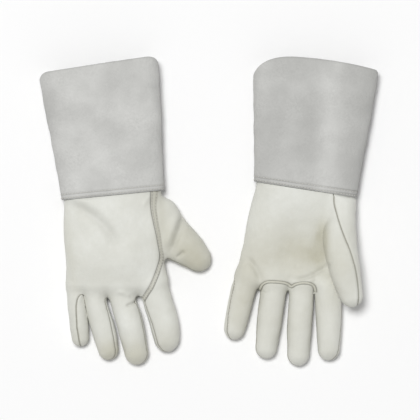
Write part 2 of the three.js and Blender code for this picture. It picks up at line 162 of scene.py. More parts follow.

# left and right are the hand's sides at HAND_Y, and height is its thickness there. front is where
# the hand ends between its fingers. strap runs down the back, and base and slit part the palm from
# the fingers' roots. thumb_seam runs down the thumb that lies over the palm.
# A digit's route holds [x, y, lowest z]. Its width, height and seam angle belong to the route's
# points. The angle is that of the seam's plane about the digit, from the side towards the thumb.
# start is how far along the route the moving leather begins.
# hollows, swells and the olive spots hold soft spots: a place, half widths and an amount. The olive
# spots are partly the leather's own olive tone and partly painted shade in hollows, beside the
# thumb, along the hand's edges and at the fingertips. A crease holds its line, its width and its
# depth, which is below 0 for a ridge.
GLOVES = {
    "right": {
        "upper": "back",
        "left": [-58, -58.2, -62.3, -64.2, -66.6, -67.6],
        "right": [56.5, 56.8, 51, 51, 53.5, 55],
        "height": [34, 34, 36, 36, 32, 28],
        "front": [(-70, -110), (-52.4, -113), (-20.3, -117), (19, -121), (58, -116)],
        "strap": [*STRAP_START, (45.5, -89), (40.8, -99), (33, -112.5), (27, -120), (22, -127)],
        "base": [(-50, -128), (-44, -120), (-38, -114.5), (-30, -113), (-21, -113.5), (-17.5, -116),
                 (-14, -113.5), (-3, -111.5), (9, -113), (16, -118), (20, -130)],
        "slit": -17.5,
        "digits": {
            "little": {
                "route": [(-55, -96, 1), (-56.6, -125, 0), (-56.3, -150, 0), (-56.6, -173.5, 0)],
                "width": [21, 21.5, 22, 19],
                "height": [24, 24, 23, 20],
                "seam": [60, 92, 102, 96],
                "start": 23,
                "hinge": (-56.6, -136),
            },
            "ring": {
                "route": [(-35, -96, 1), (-33.8, -125, 0), (-28.6, -155, 0), (-23.6, -192.6, 0)],
                "width": [25, 25.5, 28, 22.5],
                "height": [26, 26, 25, 21],
                "seam": [14, 32, 44, 46],
                "start": 26,
                "hinge": (-31.5, -139),
            },
            "middle": {
                "route": [(-5, -96, 1), (-1.8, -125, 0), (4.6, -158, 0), (9, -201.8, 0)],
                "width": [28, 30, 31, 27],
                "height": [27, 27, 26, 22],
                "seam": [0, 14, 26, 22],
                "start": 30,
                "hinge": (1.2, -142),
            },
            "index": {
                "route": [(35, -98, 1), (38.3, -125, 0), (43.4, -158, 0), (45.2, -190.3, 0)],
                "width": [31, 34, 34, 26],
                "height": [28, 27, 27, 22],
                "seam": [-8, -24, -34, -40],
                "start": 29,
                "hinge": (39.8, -144),
            },
            "thumb": {
                "route": [(24, -24, 5), (41, -36, 2), (61.1, -54.9, 0), (83.1, -75.4, 0),
                          (102.3, -97, 0)],
                "width": [62, 70, 54, 39, 24],
                "height": [26, 29, 29, 27, 22],
                "seam": [-4, -6, -10, -14, -16],
                "start": 59,
                "hinge": (79.5, -72),
            },
        },
        "swells": [((2, -50), (40, 55), 1.2)],
        "olive_and_shade_spots": [((78, -70), (26, 32), 0.85), ((92, -92), (18, 18), 0.6),
                  ((-25, -185), (16, 18), 0.95), ((8, -192), (16, 20), 0.75),
                  ((45, -182), (16, 18), 0.35), ((-57, -168), (12, 16), 0.25),
                  ((-58, -70), (7, 60), 0.3), ((54, -28), (8, 40), 0.45)],
        "creases": [
            ([(-64, 2), (-50, -6), (-36, -14), (-21, -27), (-11, -40), (-4, -54), (1, -68)],
             6, 2.8),
            ([(-46, 6), (-30, -6), (-12, -18), (0, -34), (6, -52)], 7, -1.4),
            ([(0, -131.5), (8.8, -130), (17, -126.3)], 1.9, 2.4),
            ([(-7.7, -113.5), (0.4, -116), (8, -122)], 2.6, -1.2),
            ([(44, -4), (38, -11), (34, -18)], 2.4, -0.7),
            ([(75, -26), (69, -38), (63, -50), (58, -60), (53, -71)], 4.5, -2),
            ([(84, -26), (77, -42), (71, -54), (65, -66), (58, -79)], 4.2, 3),
            ([(65.6, -82), (71, -78.6), (77.3, -74)], 2.2, 2),
        ],
    },
    "left": {
        "upper": "palm",
        "left": [-58, -58.4, -64, -68, -70.8, -71.5],
        "right": [57.6, 57.8, 53, 51, 54, 56.5],
        "height": [34, 34, 32, 28, 27, 27],
        "front": [(-78, -118), (-42.7, -122), (-6.5, -117), (22, -117), (60, -112)],
        "strap": [*STRAP_START, (46, -90), (41.5, -102), (35, -111), (27.5, -119), (23, -127)],
        "base": [(-46, -134), (-42.5, -122), (-40.4, -116.6), (-35.6, -112.8), (-27.1, -111.4),
                 (-15.5, -111.5), (-10, -112.8), (-6, -115.2), (-1.6, -112.2), (6.6, -109.6),
                 (15.7, -109.6), (20.2, -112), (22.2, -116), (23.4, -130)],
        "slit": -6,
        "thumb_seam": [(33.5, 40), (33.5, 0), (34.4, -12), (37.2, -21), (46.1, -42.7),
                       (57.4, -64.9), (64.9, -82.5), (69.7, -98.6), (73, -115), (73.6, -126),
                       (73, -136)],
        "digits": {
            "little": {
                "route": [(-55, -96, 1), (-61.8, -126, 0), (-65.6, -155, 0), (-69, -184, 0)],
                "width": [25.5, 29, 27.5, 22.5],
                "height": [25, 24, 23, 21],
                "seam": [-30, -32, -35, -50],
                "start": 31,
                "hinge": (-62.4, -143),
            },
            "ring": {
                "route": [(-24, -96, 1), (-26.2, -126, 0), (-27.8, -160, 0), (-28.6, -202.7, 0)],
                "width": [29, 30, 29, 24],
                "height": [27, 26, 25, 22],
                "seam": [-6, -8, -14, -20],
                "start": 30,
                "hinge": (-27, -143),
            },
            "middle": {
                "route": [(5, -96, 1), (6.8, -126, 0), (8.8, -165, 0), (10.6, -207.3, 0)],
                "width": [28, 28.6, 28.7, 25],
                "height": [27, 26, 25, 22],
                "seam": [-4, -6, -10, -16],
                "start": 29,
                "hinge": (7.6, -143),
            },
            "index": {
                "route": [(34, -96, 1), (39, -126, 0), (42.4, -160, 0), (46.6, -197.3, 0)],
                "width": [29, 31, 29.5, 24.5],
                "height": [28, 27, 26, 22],
                "seam": [6, 10, 16, 40],
                "start": 31,
                "hinge": (41, -145),
            },
            "thumb": {
                "route": [(44, 4, 8), (46.8, -24, 11), (45.2, -54, 17), (54.5, -89, 24.8),
                          (70, -132, 25.5)],
                "width": [22, 29, 39.5, 36.5, 23],
                "height": [25, 28, 29, 27, 22],
                "seam": [48, 48, 48, 48, 52],
                "start": 91,
                "hinge": (58.5, -101),
            },
        },
        "hollows": [((0, -62), (30, 34), 4.5), ((27, -58), (11, 24), 5)],
        "swells": [],
        "olive_and_shade_spots": [((-5, -74), (48, 31), 0.75), ((24.5, -57), (7.5, 22), 1),
                  ((-58, -110), (20, 46), 0.6), ((0, -150), (70, 60), 0.3),
                  ((-66, -160), (16, 30), 0.3), ((15, -75), (17, 10), 0.3),
                  ((52, -90), (16, 26), 0.25)],
        "creases": [
            ([(-63, -84), (-53, -94), (-46, -104), (-41, -115)], 3.4, 1.9),
            ([(39, -82), (29, -91), (17, -100), (3, -105), (-8, -106)], 2.8, 2.4),
            ([(31, -91), (21, -100), (12, -106.5)], 3, -1.2),
            ([(0, -104), (-16, -105.2), (-33, -106.8)], 3.5, 0.6),
            ([(-40, -124), (-34, -125.2), (-29, -121.4)], 1.8, 0.7),
        ],
    },
}


def smooth(t):
    """0 to 1 with level ends, for t from 0 to 1."""
    t = np.clip(t, 0, 1)
    return t * t * (3 - 2 * t)


def hump(distance, width):
    """1 at no distance, falling to nothing over about twice the width."""
    return np.exp(-((distance / width) ** 2))


def soft_min(a, b, width):
    """The lesser of a and b, melted together where they differ by less than width."""
    near = np.clip(width - np.abs(a - b), 0, None) / width
    return np.minimum(a, b) - near * near * width / 4


def spline(points, steps=24):
    """A smooth curve through the points, with that many steps between each two."""
    p = np.array(points, float)
    p = np.vstack([2 * p[0] - p[1], p, 2 * p[-1] - p[-2]])
    t = np.linspace(0, 1, steps, endpoint=False)[:, None]
    rows = []
    for before, start, end, after in zip(p, p[1:], p[2:], p[3:]):
        gaps = (start - before, end - start, after - end)
        g, h, k = [max(math.sqrt(np.linalg.norm(gap)), 1e-3) for gap in gaps]
        leave = (start - before) / g - (end - before) / (g + h) + (end - start) / h
        reach = (end - start) / h - (after - start) / (h + k) + (after - end) / k
        rows.append(
            (2 * t**3 - 3 * t**2 + 1) * start
            + (t**3 - 2 * t**2 + t) * leave * h
            + (3 * t**2 - 2 * t**3) * end
            + (t**3 - t**2) * reach * h
        )
    rows.append(p[-2][None])
    return np.vstack(rows)


def spots(table, p):
    """The sum at each point of the soft spots in a table of places, half widths and amounts."""
    total = np.zeros(len(p))
    for (x, y), (wide, tall), amount in table:
        total += amount * hump(p[:, 0] - x, wide) * hump(p[:, 1] - y, tall)
    return total


def sample(at, along, rows):
    """The rows of a table at some distances along it."""
    return np.stack([np.interp(at, along, column) for column in rows.T], -1)


def power_of(value, power):
    """A sine or cosine raised to a power with its sign kept."""
    return np.sign(value) * np.abs(value) ** power


def sides_of(triangles):
    """The two ends of each triangle's three sides, one row to a triangle."""
    return np.stack([triangles[:, [0, 1]], triangles[:, [1, 2]], triangles[:, [2, 0]]], 1)


def unit(vectors):
    return vectors / (np.linalg.norm(vectors, axis=1)[:, None] + 1e-12)


def as_columns(row, z):
    """One number for each point, shaped to go with z, which may hold a column for each point."""
    return np.reshape(row, (-1, *[1] * (z.ndim - 1)))


def arc_length(line):
    return np.r_[0, np.cumsum(np.linalg.norm(np.diff(line, axis=0), axis=1))]


def nearest_row(line, xy):
    """For each point the index of the nearest row of a line, found in blocks to save memory."""
    blocks = np.array_split(xy, len(xy) // 20000 + 1)
    found = [((block[:, None] - line[None]) ** 2).sum(2).argmin(1) for block in blocks]
    return np.concatenate(found)


def beside(line, xy):
    """Distance from a line of points, above 0 on its right as it runs, and how far along it."""
    step = np.diff(line, axis=0)
    length = np.linalg.norm(step, axis=1)
    started = arc_length(line)
    best = np.full(len(xy), np.inf)
    signed = np.zeros(len(xy))
    along = np.zeros(len(xy))
    for k in range(len(step)):
        offset = xy - line[k]
        share = np.clip(offset @ step[k] / length[k] ** 2, 0, 1)
        gap = np.linalg.norm(offset - share[:, None] * step[k], axis=1)
        turn = step[k][1] * offset[:, 0] - step[k][0] * offset[:, 1]
        closer = gap < best
        best[closer] = gap[closer]
        signed[closer] = (np.sign(turn) * gap)[closer]
        along[closer] = (started[k] + share * length[k])[closer]
    return signed, along


class Waves:
    """A seeded pattern of smooth hills and hollows about a wavelength apart and a height high."""

    def __init__(self, seed, wavelength, height, count=16):
        self.height = height
        rng = np.random.default_rng(seed)
        direction = rng.normal(size=(count, 3))
        direction /= np.linalg.norm(direction, axis=1)[:, None]
        self.waves = direction * rng.uniform(0.7, 1.4, (count, 1)) * 2 * math.pi / wavelength
        self.phase = rng.uniform(0, 2 * math.pi, count)

    def __call__(self, p):
        hills = np.sin(p @ self.waves.T + self.phase).sum(1)
        return self.height * hills / math.sqrt(2 * len(self.phase))


# ---------------------------------------------------------------- shape of a glove


def section(across, up, wide, tall, power, *ends):
    """Distance to a rounded section whose underside is flat, with rounded ends."""
    u, v = np.abs(across) / wide, np.abs(up) / tall
    flat = (u**power + v**power + 1e-9) ** (1 / power)
    radius = np.sqrt(flat**2 + sum(share**2 for share, _ in ends))
    lead = flat ** (2 - power) / radius
    slope = (lead * u ** (power - 1) / wide) ** 2 + (lead * v ** (power - 1) / tall) ** 2
    slope = slope + sum((share / radius / reach) ** 2 for share, reach in ends)
    underside = -(up + tall * FLAT)
    return -soft_min((1 - radius) / np.sqrt(slope + 1e-6), -underside, UNDERSIDE_MELT)


class Digit:
    """The swept shape of a digit, and where a point lies in it."""

    def __init__(self, route, width, height, seam, start, hinge):
        line = spline(route)
        size = spline(list(zip(width, height)))
        self.xy = line[:, :2]
        self.low = np.maximum(line[:, 2], 0)
        self.wide = size[:, 0] / 2
        self.tall = size[:, 1] / (1 + FLAT)
        angles = np.interp(np.linspace(0, 1, len(line)), np.linspace(0, 1, len(seam)), seam)
        self.seam = np.radians(angles)
        self.along = arc_length(self.xy)
        self.length = self.along[-1]
        tangent = np.gradient(self.xy, axis=0)
        self.tangent = tangent / np.linalg.norm(tangent, axis=1)[:, None]
        self.start = start
        self.hinge = self.plan(np.array([hinge], float))[0][0]

    def at(self, name, along):
        """The value of one of the digit's rows at a distance along it."""
        row = getattr(self, name)
        if row.ndim == 1:
            return np.interp(along, self.along, row)
        return sample(along, self.along, row)

    def plan(self, xy):
        """How far along the digit, beyond its ends and across it each point is, seen from above."""
        row = nearest_row(self.xy, xy)
        ahead = ((xy - self.xy[row]) * self.tangent[row]).sum(1)
        along = np.clip(self.along[row] + ahead, 0, self.length)
        tangent = self.at("tangent", along)
        offset = xy - self.at("xy", along)
        beyond = (offset * tangent).sum(1)
        across = offset[:, 1] * tangent[:, 0] - offset[:, 0] * tangent[:, 1]
        return along, beyond, across

    def up(self, along, z):
        """Height above the digit's middle line."""
        return z - self.at("low", along) - self.at("tall", along) * FLAT

    def distance(self, plan, z):
        """About the distance to the digit's surface, negative inside."""
        along, beyond, across = [as_columns(row, z) for row in plan]
        tip, root = self.wide[-1], self.wide[0]
        to_tip = (np.clip(tip - self.length + along, 0, None) + np.clip(beyond, 0, None)) / tip
        to_root = (np.clip(root - along, 0, None) + np.clip(-beyond, 0, None)) / root
        wide, tall = self.at("wide", along), self.at("tall", along)
        ends = (to_tip, tip), (to_root, root)
        return section(across, self.up(along, z), wide, tall, DIGIT_POWER, *ends)

    def point(self, along):
        """The point of the middle line at that distance along it."""
        height = self.at("low", along) + self.at("tall", along) * FLAT
        return np.array([*self.at("xy", along), height])


class Glove:
    """One glove's shape, seams, relief and place."""

    def __init__(self, name, spec):
        self.name = name
        self.spec = spec
        self.up_is_back = spec["upper"] == "back"
        self.digits = {digit: Digit(**sizes) for digit, sizes in spec["digits"].items()}
        self.strap = spline(spec["strap"], 8)
        self.strap_half = spline([(half, 0) for half in STRAP_HALF], 8)[:, 0]
        self.base = spline(spec["base"], 6)
        self.thumb_seam = spline(spec["thumb_seam"], 6) if "thumb_seam" in spec else None
        hand = zip(HAND_Y, spec["left"], spec["right"], spec["height"], HAND_LIFT)
        self.hand_rows = spline(list(hand), 10)[::-1].T
        self.set_place()

    def set_place(self):
        """The glove's turn and shift in the frame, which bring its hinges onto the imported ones."""
        here = np.array([complex(*digit.at("xy", digit.hinge)) for digit in self.digits.values()])
        joints = [JOINTS[f"{self.name}_{digit}_fold"]["pos_m"] for digit in self.digits]
        there = np.array([complex(x, y) / MM for x, y, _ in joints])
        turn = (np.conj(here - here.mean()) * (there - there.mean())).sum()
        turn /= abs(turn)
        shift = there.mean() - turn * here.mean()
        self.turn = np.array([[turn.real, -turn.imag, 0], [turn.imag, turn.real, 0], [0, 0, 1]])
        self.shift = np.array([shift.real, shift.imag, 0])

    def world(self, p):
        """Points of the glove's own frame in the row frame, in metres."""
        return (np.asarray(p) @ self.turn.T + self.shift) * MM

    def placed(self, p):
        """Points of a leather piece in the row frame, in metres, kept just off the floor."""
        points = self.world(p)
        points[:, 2] = np.maximum(points[:, 2], FLOOR_TOUCH)
        return points

    def on_back(self, side):
        """Where a value of the side seam is on the back of the hand."""
        return (side > 0) == self.up_is_back

    def on_hand(self, height):
        """Where a height is on the hand itself, and not on a thumb that lies over it."""
        return self.up_is_back | (height < SIDE_SEAM)

    def hand_distance(self, xy, z):
        """About the distance to the hand's surface, without its digits."""
        y_rows, *rows = self.hand_rows
        sizes = [as_columns(np.interp(xy[:, 1], y_rows, row), z) for row in rows]
        left, right, height, lift = sizes
        tall = height / (1 + FLAT)
        across = as_columns(xy[:, 0], z) - (left + right) / 2
        front = xy[:, 1] - np.interp(xy[:, 0], *zip(*self.spec["front"]))
        to_front = as_columns(np.clip(1 - front / HAND_FRONT, 0, None), z)
        up = z - np.clip(lift, 0, None) - tall * FLAT
        return section(across, up, (right - left) / 2, tall, HAND_POWER, (to_front, HAND_FRONT))

    def distances(self, xy, z):
        """Distances to the hand and to each digit, and the digits' plans."""
        plans = {name: digit.plan(xy) for name, digit in self.digits.items()}
        apart = {name: digit.distance(plans[name], z) for name, digit in self.digits.items()}
        hand = self.hand_distance(xy, z)
        if not self.up_is_back:
            hand = hand + as_columns(self.press(plans["thumb"]), z)
            hollow = as_columns(spots(self.spec["hollows"], xy), z)
            hand = hand + hollow * smooth((z - HOLLOW_FLOOR) / HOLLOW_FLOOR)
        return hand, apart, plans

    def press(self, plan):
        """How far a thumb that lies over the palm presses it down."""
        along, _, across = plan
        wide = self.digits["thumb"].at("wide", along)
        under = smooth((2.6 - np.abs(across) / wide) / 1.6)
        return PRESSED * under * smooth((along - PRESS_START) / PRESS_RUN)

    def melt(self, name, plan):
        """How wide the hand and a digit melt together."""
        if self.up_is_back or name != "thumb":
            return HAND_BLEND
        return HAND_BLEND * (1.6 - 1.4 * smooth((plan[0] - CORNER_START) / CORNER_RUN))

    def surface(self, xy, z):
        """About the distance to the glove's whole surface."""
        hand, apart, plans = self.distances(xy, z)
        total = hand
        for name, distance in apart.items():
            width = as_columns(self.melt(name, plans[name]), z)
            total = np.minimum(total, soft_min(hand, distance, width))
        return -soft_min(-total, z - FLOOR_GAP, 1.0)

    def seams(self, p):
        """Where each point of the skin lies with respect to every seam, by the seam's name."""
        xy, z = p[:, :2], p[:, 2]
        hand, apart, plans = self.distances(xy, z)
        upper = z - SIDE_SEAM
        thumb_left = np.full(len(p), FAR)
        if self.thumb_seam is not None:
            thumb_left, _ = beside(self.thumb_seam, xy)
            upper = soft_min(upper, thumb_left, 2)
        total = np.zeros(len(p))
        weights = np.zeros(len(p))
        rest = np.ones(len(p))
        for name, digit in self.digits.items():
            along, _, across = plans[name]
            height = digit.up(along, z)
            angle = digit.at("seam", along)
            seam = height * np.cos(angle) - across * np.sin(angle)
            if name == "thumb" and self.thumb_seam is not None:
                on_top = smooth(height / 4 + 0.5)
                seam = seam * (1 - on_top) + thumb_left * on_top
            near = hump(np.clip(apart[name], 0, None), 1.6)
            weight = smooth((along - digit.start + SEAM_TURN) / SEAM_TURN) * near
            total += weight * seam
            weights += weight
            rest *= 1 - weight
        side = (total + rest * upper) / (weights + rest)
        names = list(self.digits)
        gaps = np.stack([apart[name] for name in names])
        nearest = gaps.argmin(0)
        along = np.stack([plans[name][0] - self.digits[name].start for name in names])
        run = np.take_along_axis(along, nearest[None], 0)[0]
        gap = np.take_along_axis(gaps, nearest[None], 0)[0]
        strap, strap_run = beside(self.strap, xy)
        half = np.interp(strap_run, arc_length(self.strap), self.strap_half)
        base, base_run = beside(self.base, xy)
        base_length = arc_length(self.base)[-1]
        return {
            "wrist": WRIST - p[:, 1],
            "side": side,
            "run": run,
            "free": hand - gap,
            "gap": gap,
            "digit": nearest.astype(float),
            "strap": np.abs(strap) - half,
            "strap_side": -strap,
            "strap_share": -strap / half,
            "base": base,
            "base_end": np.minimum(base_run, base_length - base_run) - PIPING_LEAD,
            "slit": p[:, 0] - self.spec["slit"],
            "crotch": p[:, 1] - THUMB_CROTCH,
            "height": z,
            "thumb_left": thumb_left,
        }

    def relief(self, p, normal, seam):
        """How far folds and creases raise the skin, and how deep in a crease each point is."""
        upper = smooth((normal[:, 2] + 0.1) / 0.5)
        rise = SWELL(p) + RIPPLE(p) + upper * spots(self.spec["swells"], p)
        depth = np.zeros(len(p))
        for line, width, deep in self.spec["creases"]:
            curve = spline(line, 6)
            gap, along = beside(curve, p[:, :2])
            length = arc_length(curve)[-1]
            ends = smooth(np.minimum(along, length - along) / (0.3 * length) + 0.08)
            crease = deep * hump(gap, width) * ends * upper
            rise -= crease
            depth += np.clip(crease, 0, None)
        near = np.exp(-np.abs(seam["side"]) / 3.5)
        rise += near * PUCKER(p)
        return rise, depth

    def tint(self, p):
        """How far the leather's colour leans to olive at each point, from 0 to 1: partly its own
        olive tone, partly painted shade in hollows, beside the thumb and at the fingertips.
        """
        return np.clip(spots(self.spec["olive_and_shade_spots"], p), 0, 1)

    def tuck(self, p):
        """Points inside the cuff, drawn in where they would pass through its wall."""
        cuff = Cuff(self)
        low = cuff.span(np.clip(p[:, 0] / (cuff.open_width / 2), -1, 1))[0]
        width, height, lift = [np.interp(p[:, 1], cuff.rows[0], row) for row in cuff.rows[1:]]
        wall = SPLIT_WALL + CUFF_ROOM
        half = width / 2 - wall
        tall = (height - 2 * wall) / (1 + FLAT)
        middle = np.clip(lift, 0, None) + wall + tall * FLAT
        u, v = np.abs(p[:, 0] / half), np.abs((p[:, 2] - middle) / tall)
        size = (u**HAND_POWER + v**HAND_POWER) ** (1 / HAND_POWER)
        drawn = np.where(size > 1, 1 / size, 1)
        share = smooth((p[:, 1] - low + 4) / 4)
        factor = 1 - share * (1 - drawn)
        return np.stack([p[:, 0] * factor, p[:, 1], middle + (p[:, 2] - middle) * factor], 1)


SWELL, RIPPLE, PUCKER = Waves(11, 52, 0.55), Waves(12, 19, 0.16), Waves(13, 7, 0.22)
CUFF_SWELL, CUFF_RIPPLE, CUFF_NAP = Waves(21, 70, 1.5), Waves(22, 22, 0.35), Waves(23, 4, 0.1)


# ---------------------------------------------------------------- finding the skin


def surface_net(values):
    """The surface where a grid of values crosses 0: its points in grid steps, and its quads."""
    cells = np.array(values.shape) - 1
    total = np.zeros((cells.prod(), 3))
    count = np.zeros(cells.prod())
    quads = []
    for axis in range(3):
        u, v = (axis + 1) % 3, (axis + 2) % 3
        first = np.take(values, range(values.shape[axis] - 1), axis)
        last = np.take(values, range(1, values.shape[axis]), axis)
        edge = np.argwhere((first < 0) != (last < 0))
        a, b = first[tuple(edge.T)], last[tuple(edge.T)]
        spot = edge.astype(float)
        spot[:, axis] += a / (a - b)
        corners = []
        usable = np.ones(len(edge), bool)
        for du, dv in ((1, 1), (0, 1), (0, 0), (1, 0)):
            cell = edge.copy()
            cell[:, u] -= du
            cell[:, v] -= dv
            inside = ((cell >= 0) & (cell < cells)).all(1)
            index = np.ravel_multi_index(np.clip(cell, 0, cells - 1).T, cells)
            for k in range(3):
                total[:, k] += np.bincount(index[inside], spot[inside, k], len(count))
            count += np.bincount(index[inside], minlength=len(count))
            corners.append(index)
            usable &= inside
        quad = np.stack(corners, 1)
        quad[a > 0] = quad[a > 0][:, ::-1]
        quads.append(quad[usable])
    quads = np.vstack(quads)
    used = np.zeros(len(count), bool)
    used[quads] = True
    number = np.cumsum(used) - 1
    return total[used] / count[used][:, None], number[quads]


def as_triangles(points, quads):
    """Each quad as two triangles, split along its shorter diagonal."""
    a, b, c, d = quads.T
    one, other = [np.linalg.norm(points[p] - points[q], axis=1) for p, q in ((a, c), (b, d))]
    short = one < other
    first = np.stack([a, b, np.where(short, c, d)], 1)
    second = np.stack([np.where(short, a, b), c, d], 1)
    return np.vstack([first, second])


def vertex_normals(points, triangles):
    """Unit normals, each the sum of its faces' normals by area."""
    a, b, c = points[triangles].swapaxes(0, 1)
    face = np.cross(b - a, c - a)
    normal = np.zeros_like(points)
    for k in range(3):
        for axis in range(3):
            normal[:, axis] += np.bincount(triangles[:, k], face[:, axis], len(points))
    return unit(normal)


def relax(points, triangles, fixed):
    """Each point at the middle of its neighbours."""
    pairs = np.vstack(sides_of(triangles).swapaxes(0, 1))  # every side, the first sides first
    both = np.vstack([pairs, pairs[:, ::-1]])
    count = np.bincount(both[:, 0], minlength=len(points))
    total = [np.bincount(both[:, 0], row, len(points)) for row in points[both[:, 1]].T]
    middle = np.stack(total, 1) / np.maximum(count, 1)[:, None]
    return np.where(fixed[:, None], points, middle)


def settle(glove, points):
    """Moves points onto the glove's surface."""
    step = 0.25
    for _ in range(2):
        value = glove.surface(points[:, :2], points[:, 2])
        slope = np.zeros_like(points)
        for axis in range(3):
            moved = points.copy()
            moved[:, axis] += step
            slope[:, axis] = (glove.surface(moved[:, :2], moved[:, 2]) - value) / step
        size = (slope**2).sum(1) + 1e-9
        points = points - slope * (np.clip(value, -1.2, 1.2) / size)[:, None]
    return points


def find_skin(glove):
    """The glove's skin as points and triangles, open at the wrist."""
    axes = [np.arange(low, high, GRID) for low, high in SKIN_BOX]
    x, y = np.meshgrid(axes[0], axes[1], indexing="ij")
    columns = np.stack([x.ravel(), y.ravel()], 1)
    values = glove.surface(columns, np.broadcast_to(axes[2], (len(columns), len(axes[2]))))
    grid, quads = surface_net(values.reshape([len(a) for a in axes]))
    points = grid * GRID + np.array([low for low, _ in SKIN_BOX])
    triangles = as_triangles(points, quads)
    fixed = points[:, 1] > SKIN_BOX[1][1] - 3 * GRID
    for _ in range(2):
        points = relax(points, triangles, fixed)
        points = settle(glove, points)
    return points, triangles


# ---------------------------------------------------------------- cutting the skin


class Skin:
    """The skin's points, triangles and seam values, which are kept as it is cut."""

    def __init__(self, points, triangles, values):
        self.points = points
        self.triangles = triangles
        self.values = values

    def mean(self, name):
        """A seam value at the middle of each triangle."""
        return self.values[name][self.triangles].mean(1)

    def cut(self, name, level, where=None):
        """Splits the triangles of where along the line on which a seam value has that level."""
        value = self.values[name] - level
        close = np.abs(value) < SNAP
        self.values[name] = np.where(close, level, self.values[name])
        value = np.where(close, 0, value)
        corner = self.triangles
        ends = sides_of(corner)
        key = ends.min(2).astype(np.int64) * len(value) + ends.max(2)
        crossed = value[ends[..., 0]] * value[ends[..., 1]] < 0
        if where is not None:
            crossed &= where[:, None]
        split = np.unique(key[crossed])
        if not len(split):
            return
        a, b = split // len(value), split % len(value)
        share = value[a] / (value[a] - value[b])
        for other, row in self.values.items():
            self.values[other] = np.r_[row, row[a] * (1 - share) + row[b] * share]
        self.values[name][len(value):] = level
        middle = self.points[a] * (1 - share)[:, None] + self.points[b] * share[:, None]
        self.points = np.vstack([self.points, middle])
        spot = np.clip(np.searchsorted(split, key), 0, len(split) - 1)
        new = np.where(split[spot] == key, spot + len(value), -1)
        self.triangles = np.vstack([t for t in retriangulate(corner, new) if len(t)])

    def keep(self, wanted):
        self.triangles = self.triangles[wanted]


# A split triangle's corners are 0, 1 and 2. The new points on its sides after them are 3, 4 and 5.
SPLITS = {
    1: [(0, 3, 2), (3, 1, 2)],
    2: [(0, 3, 2), (3, 4, 2), (3, 1, 4)],
    3: [(0, 3, 5), (3, 1, 4), (5, 4, 2), (3, 4, 5)],
}


def retriangulate(corner, new):
    """Triangles split at the new points on their sides. new holds -1 where a side stays whole."""
    count = (new >= 0).sum(1)
    yield corner[count == 0]
    for wanted, parts in SPLITS.items():
        c, n = corner[count == wanted], new[count == wanted]
        first = (n >= 0).argmax(1) if wanted == 1 else ((n < 0).argmax(1) + 1) % 3
        turn = (np.arange(3)[None] + first[:, None]) % 3
        both = np.hstack([np.take_along_axis(c, turn, 1), np.take_along_axis(n, turn, 1)])
        for part in parts:
            yield both[:, list(part)]


DIGITS = ["little", "ring", "middle", "index", "thumb"]


def body_of(glove, digit):
    return f"{glove.name}_thumb" if digit == "thumb" else f"{glove.name}_{digit}_finger"


def cut_seams(glove, skin):
    """Cuts the skin along every seam, with finer strips beside them for their grooves and edges."""
    skin.cut("wrist", 0)
    skin.keep(skin.mean("wrist") > 0)
    at_start = (skin.mean("gap") < 3) & (np.abs(skin.mean("run")) < 4) & (skin.mean("free") > -1.5)
    one_digit = np.ptp(skin.values["digit"][skin.triangles], axis=1) == 0
    skin.cut("run", 0, at_start & one_digit)
    for level in SEAM_LEVELS:
        skin.cut("side", level)
    for level in STRAP_LEVELS:
        back = glove.on_back(skin.mean("side")) & glove.on_hand(skin.mean("height"))
        skin.cut("strap", level, back & ((skin.mean("run") < SEAM_RUN) | (skin.mean("free") < 0)))
    for level in PIPING_LEVELS:
        palm = ~glove.on_back(skin.mean("side")) & (skin.mean("crotch") < ROOTS_BELOW)
        skin.cut("base", level, palm & (skin.mean("run") < SEAM_RUN))
    skin.cut("base_end", 0, np.abs(skin.mean("base")) < PIPING)
    skin.cut("slit", 0, (skin.mean("base") > 0) & (skin.mean("run") < SEAM_RUN))
    skin.cut("crotch", 0, skin.mean("strap_side") > 0)


def groups(glove, skin):
    """The node each triangle of the skin belongs to, and the leather it is cut from."""
    mean = {name: skin.mean(name) for name in skin.values}
    digit = np.round(np.median(skin.values["digit"][skin.triangles], axis=1)).astype(int)
    moving = (mean["run"] > 0) & (mean["free"] > 0)
    back = glove.on_back(mean["side"])
    low = glove.on_hand(mean["height"])
    below = mean["crotch"] < ROOTS_BELOW
    node = np.full(len(skin.triangles), "palm_panel", dtype=object)
    leather = node.copy()

    def put(where, name, kind=None):
        node[where] = name
        leather[where] = kind or name

    put(back, "back_panel")
    beyond = back & ((mean["strap_side"] > 0) | ~low)
    put(beyond & ((mean["crotch"] > 0) | ~low), "thumb_base")
    put(beyond & (mean["crotch"] <= 0) & low, "index_base")
    put(back & low & (mean["strap"] < 0), "keystone_strap")
    roots = ~back & (mean["base"] > 0) & below
    put(roots & (mean["slit"] < 0), "ring_root")
    put(roots & (mean["slit"] >= 0), "middle_root")
    piped = (np.abs(mean["base"]) < PIPING) & (mean["base_end"] > 0)
    put(~back & piped & below, "finger_base_welt")
    for k, name in enumerate(DIGITS):
        on = moving & (digit == k)
        own_back = {"index": "index_base", "thumb": "thumb_base"}.get(name, "back_panel")
        own_front = f"{name}_root" if name in ("ring", "middle") else "palm_panel"
        put(on & back, f"{name}_back", own_back)
        put(on & ~back, f"{name}_front", own_front)
        near = (digit == k) & (mean["run"] > -WELT_RUN) & (mean["gap"] < WELT_REACH)
        if name == "thumb" and not glove.up_is_back:
            upper = (mean["height"] > SIDE_SEAM + 2) & ~moving
            near |= (np.abs(mean["thumb_left"]) < WELT) & upper
        put(near & (np.abs(mean["side"]) < WELT) & (node != "keystone_strap"), f"{name}_welt")
    return node, leather


def strap_gap(glove, seam, row):
    """How far each point is outside the strap's edge: below 0 on it, and far where it has none."""
    back = glove.on_back(seam["side"][row]) & glove.on_hand(seam["height"][row])
    return np.where(back & (seam["run"][row] < 4), seam["strap"][row], FAR)


def base_gap(glove, seam, row):
    """How far each point is from the middle of the fingers' piping, far where it has none."""
    palm = ~glove.on_back(seam["side"][row])
    piped = palm & (seam["crotch"][row] < ROOTS_BELOW) & (seam["base_end"][row] > -0.5)
    return np.where(piped, np.abs(seam["base"][row]), FAR)


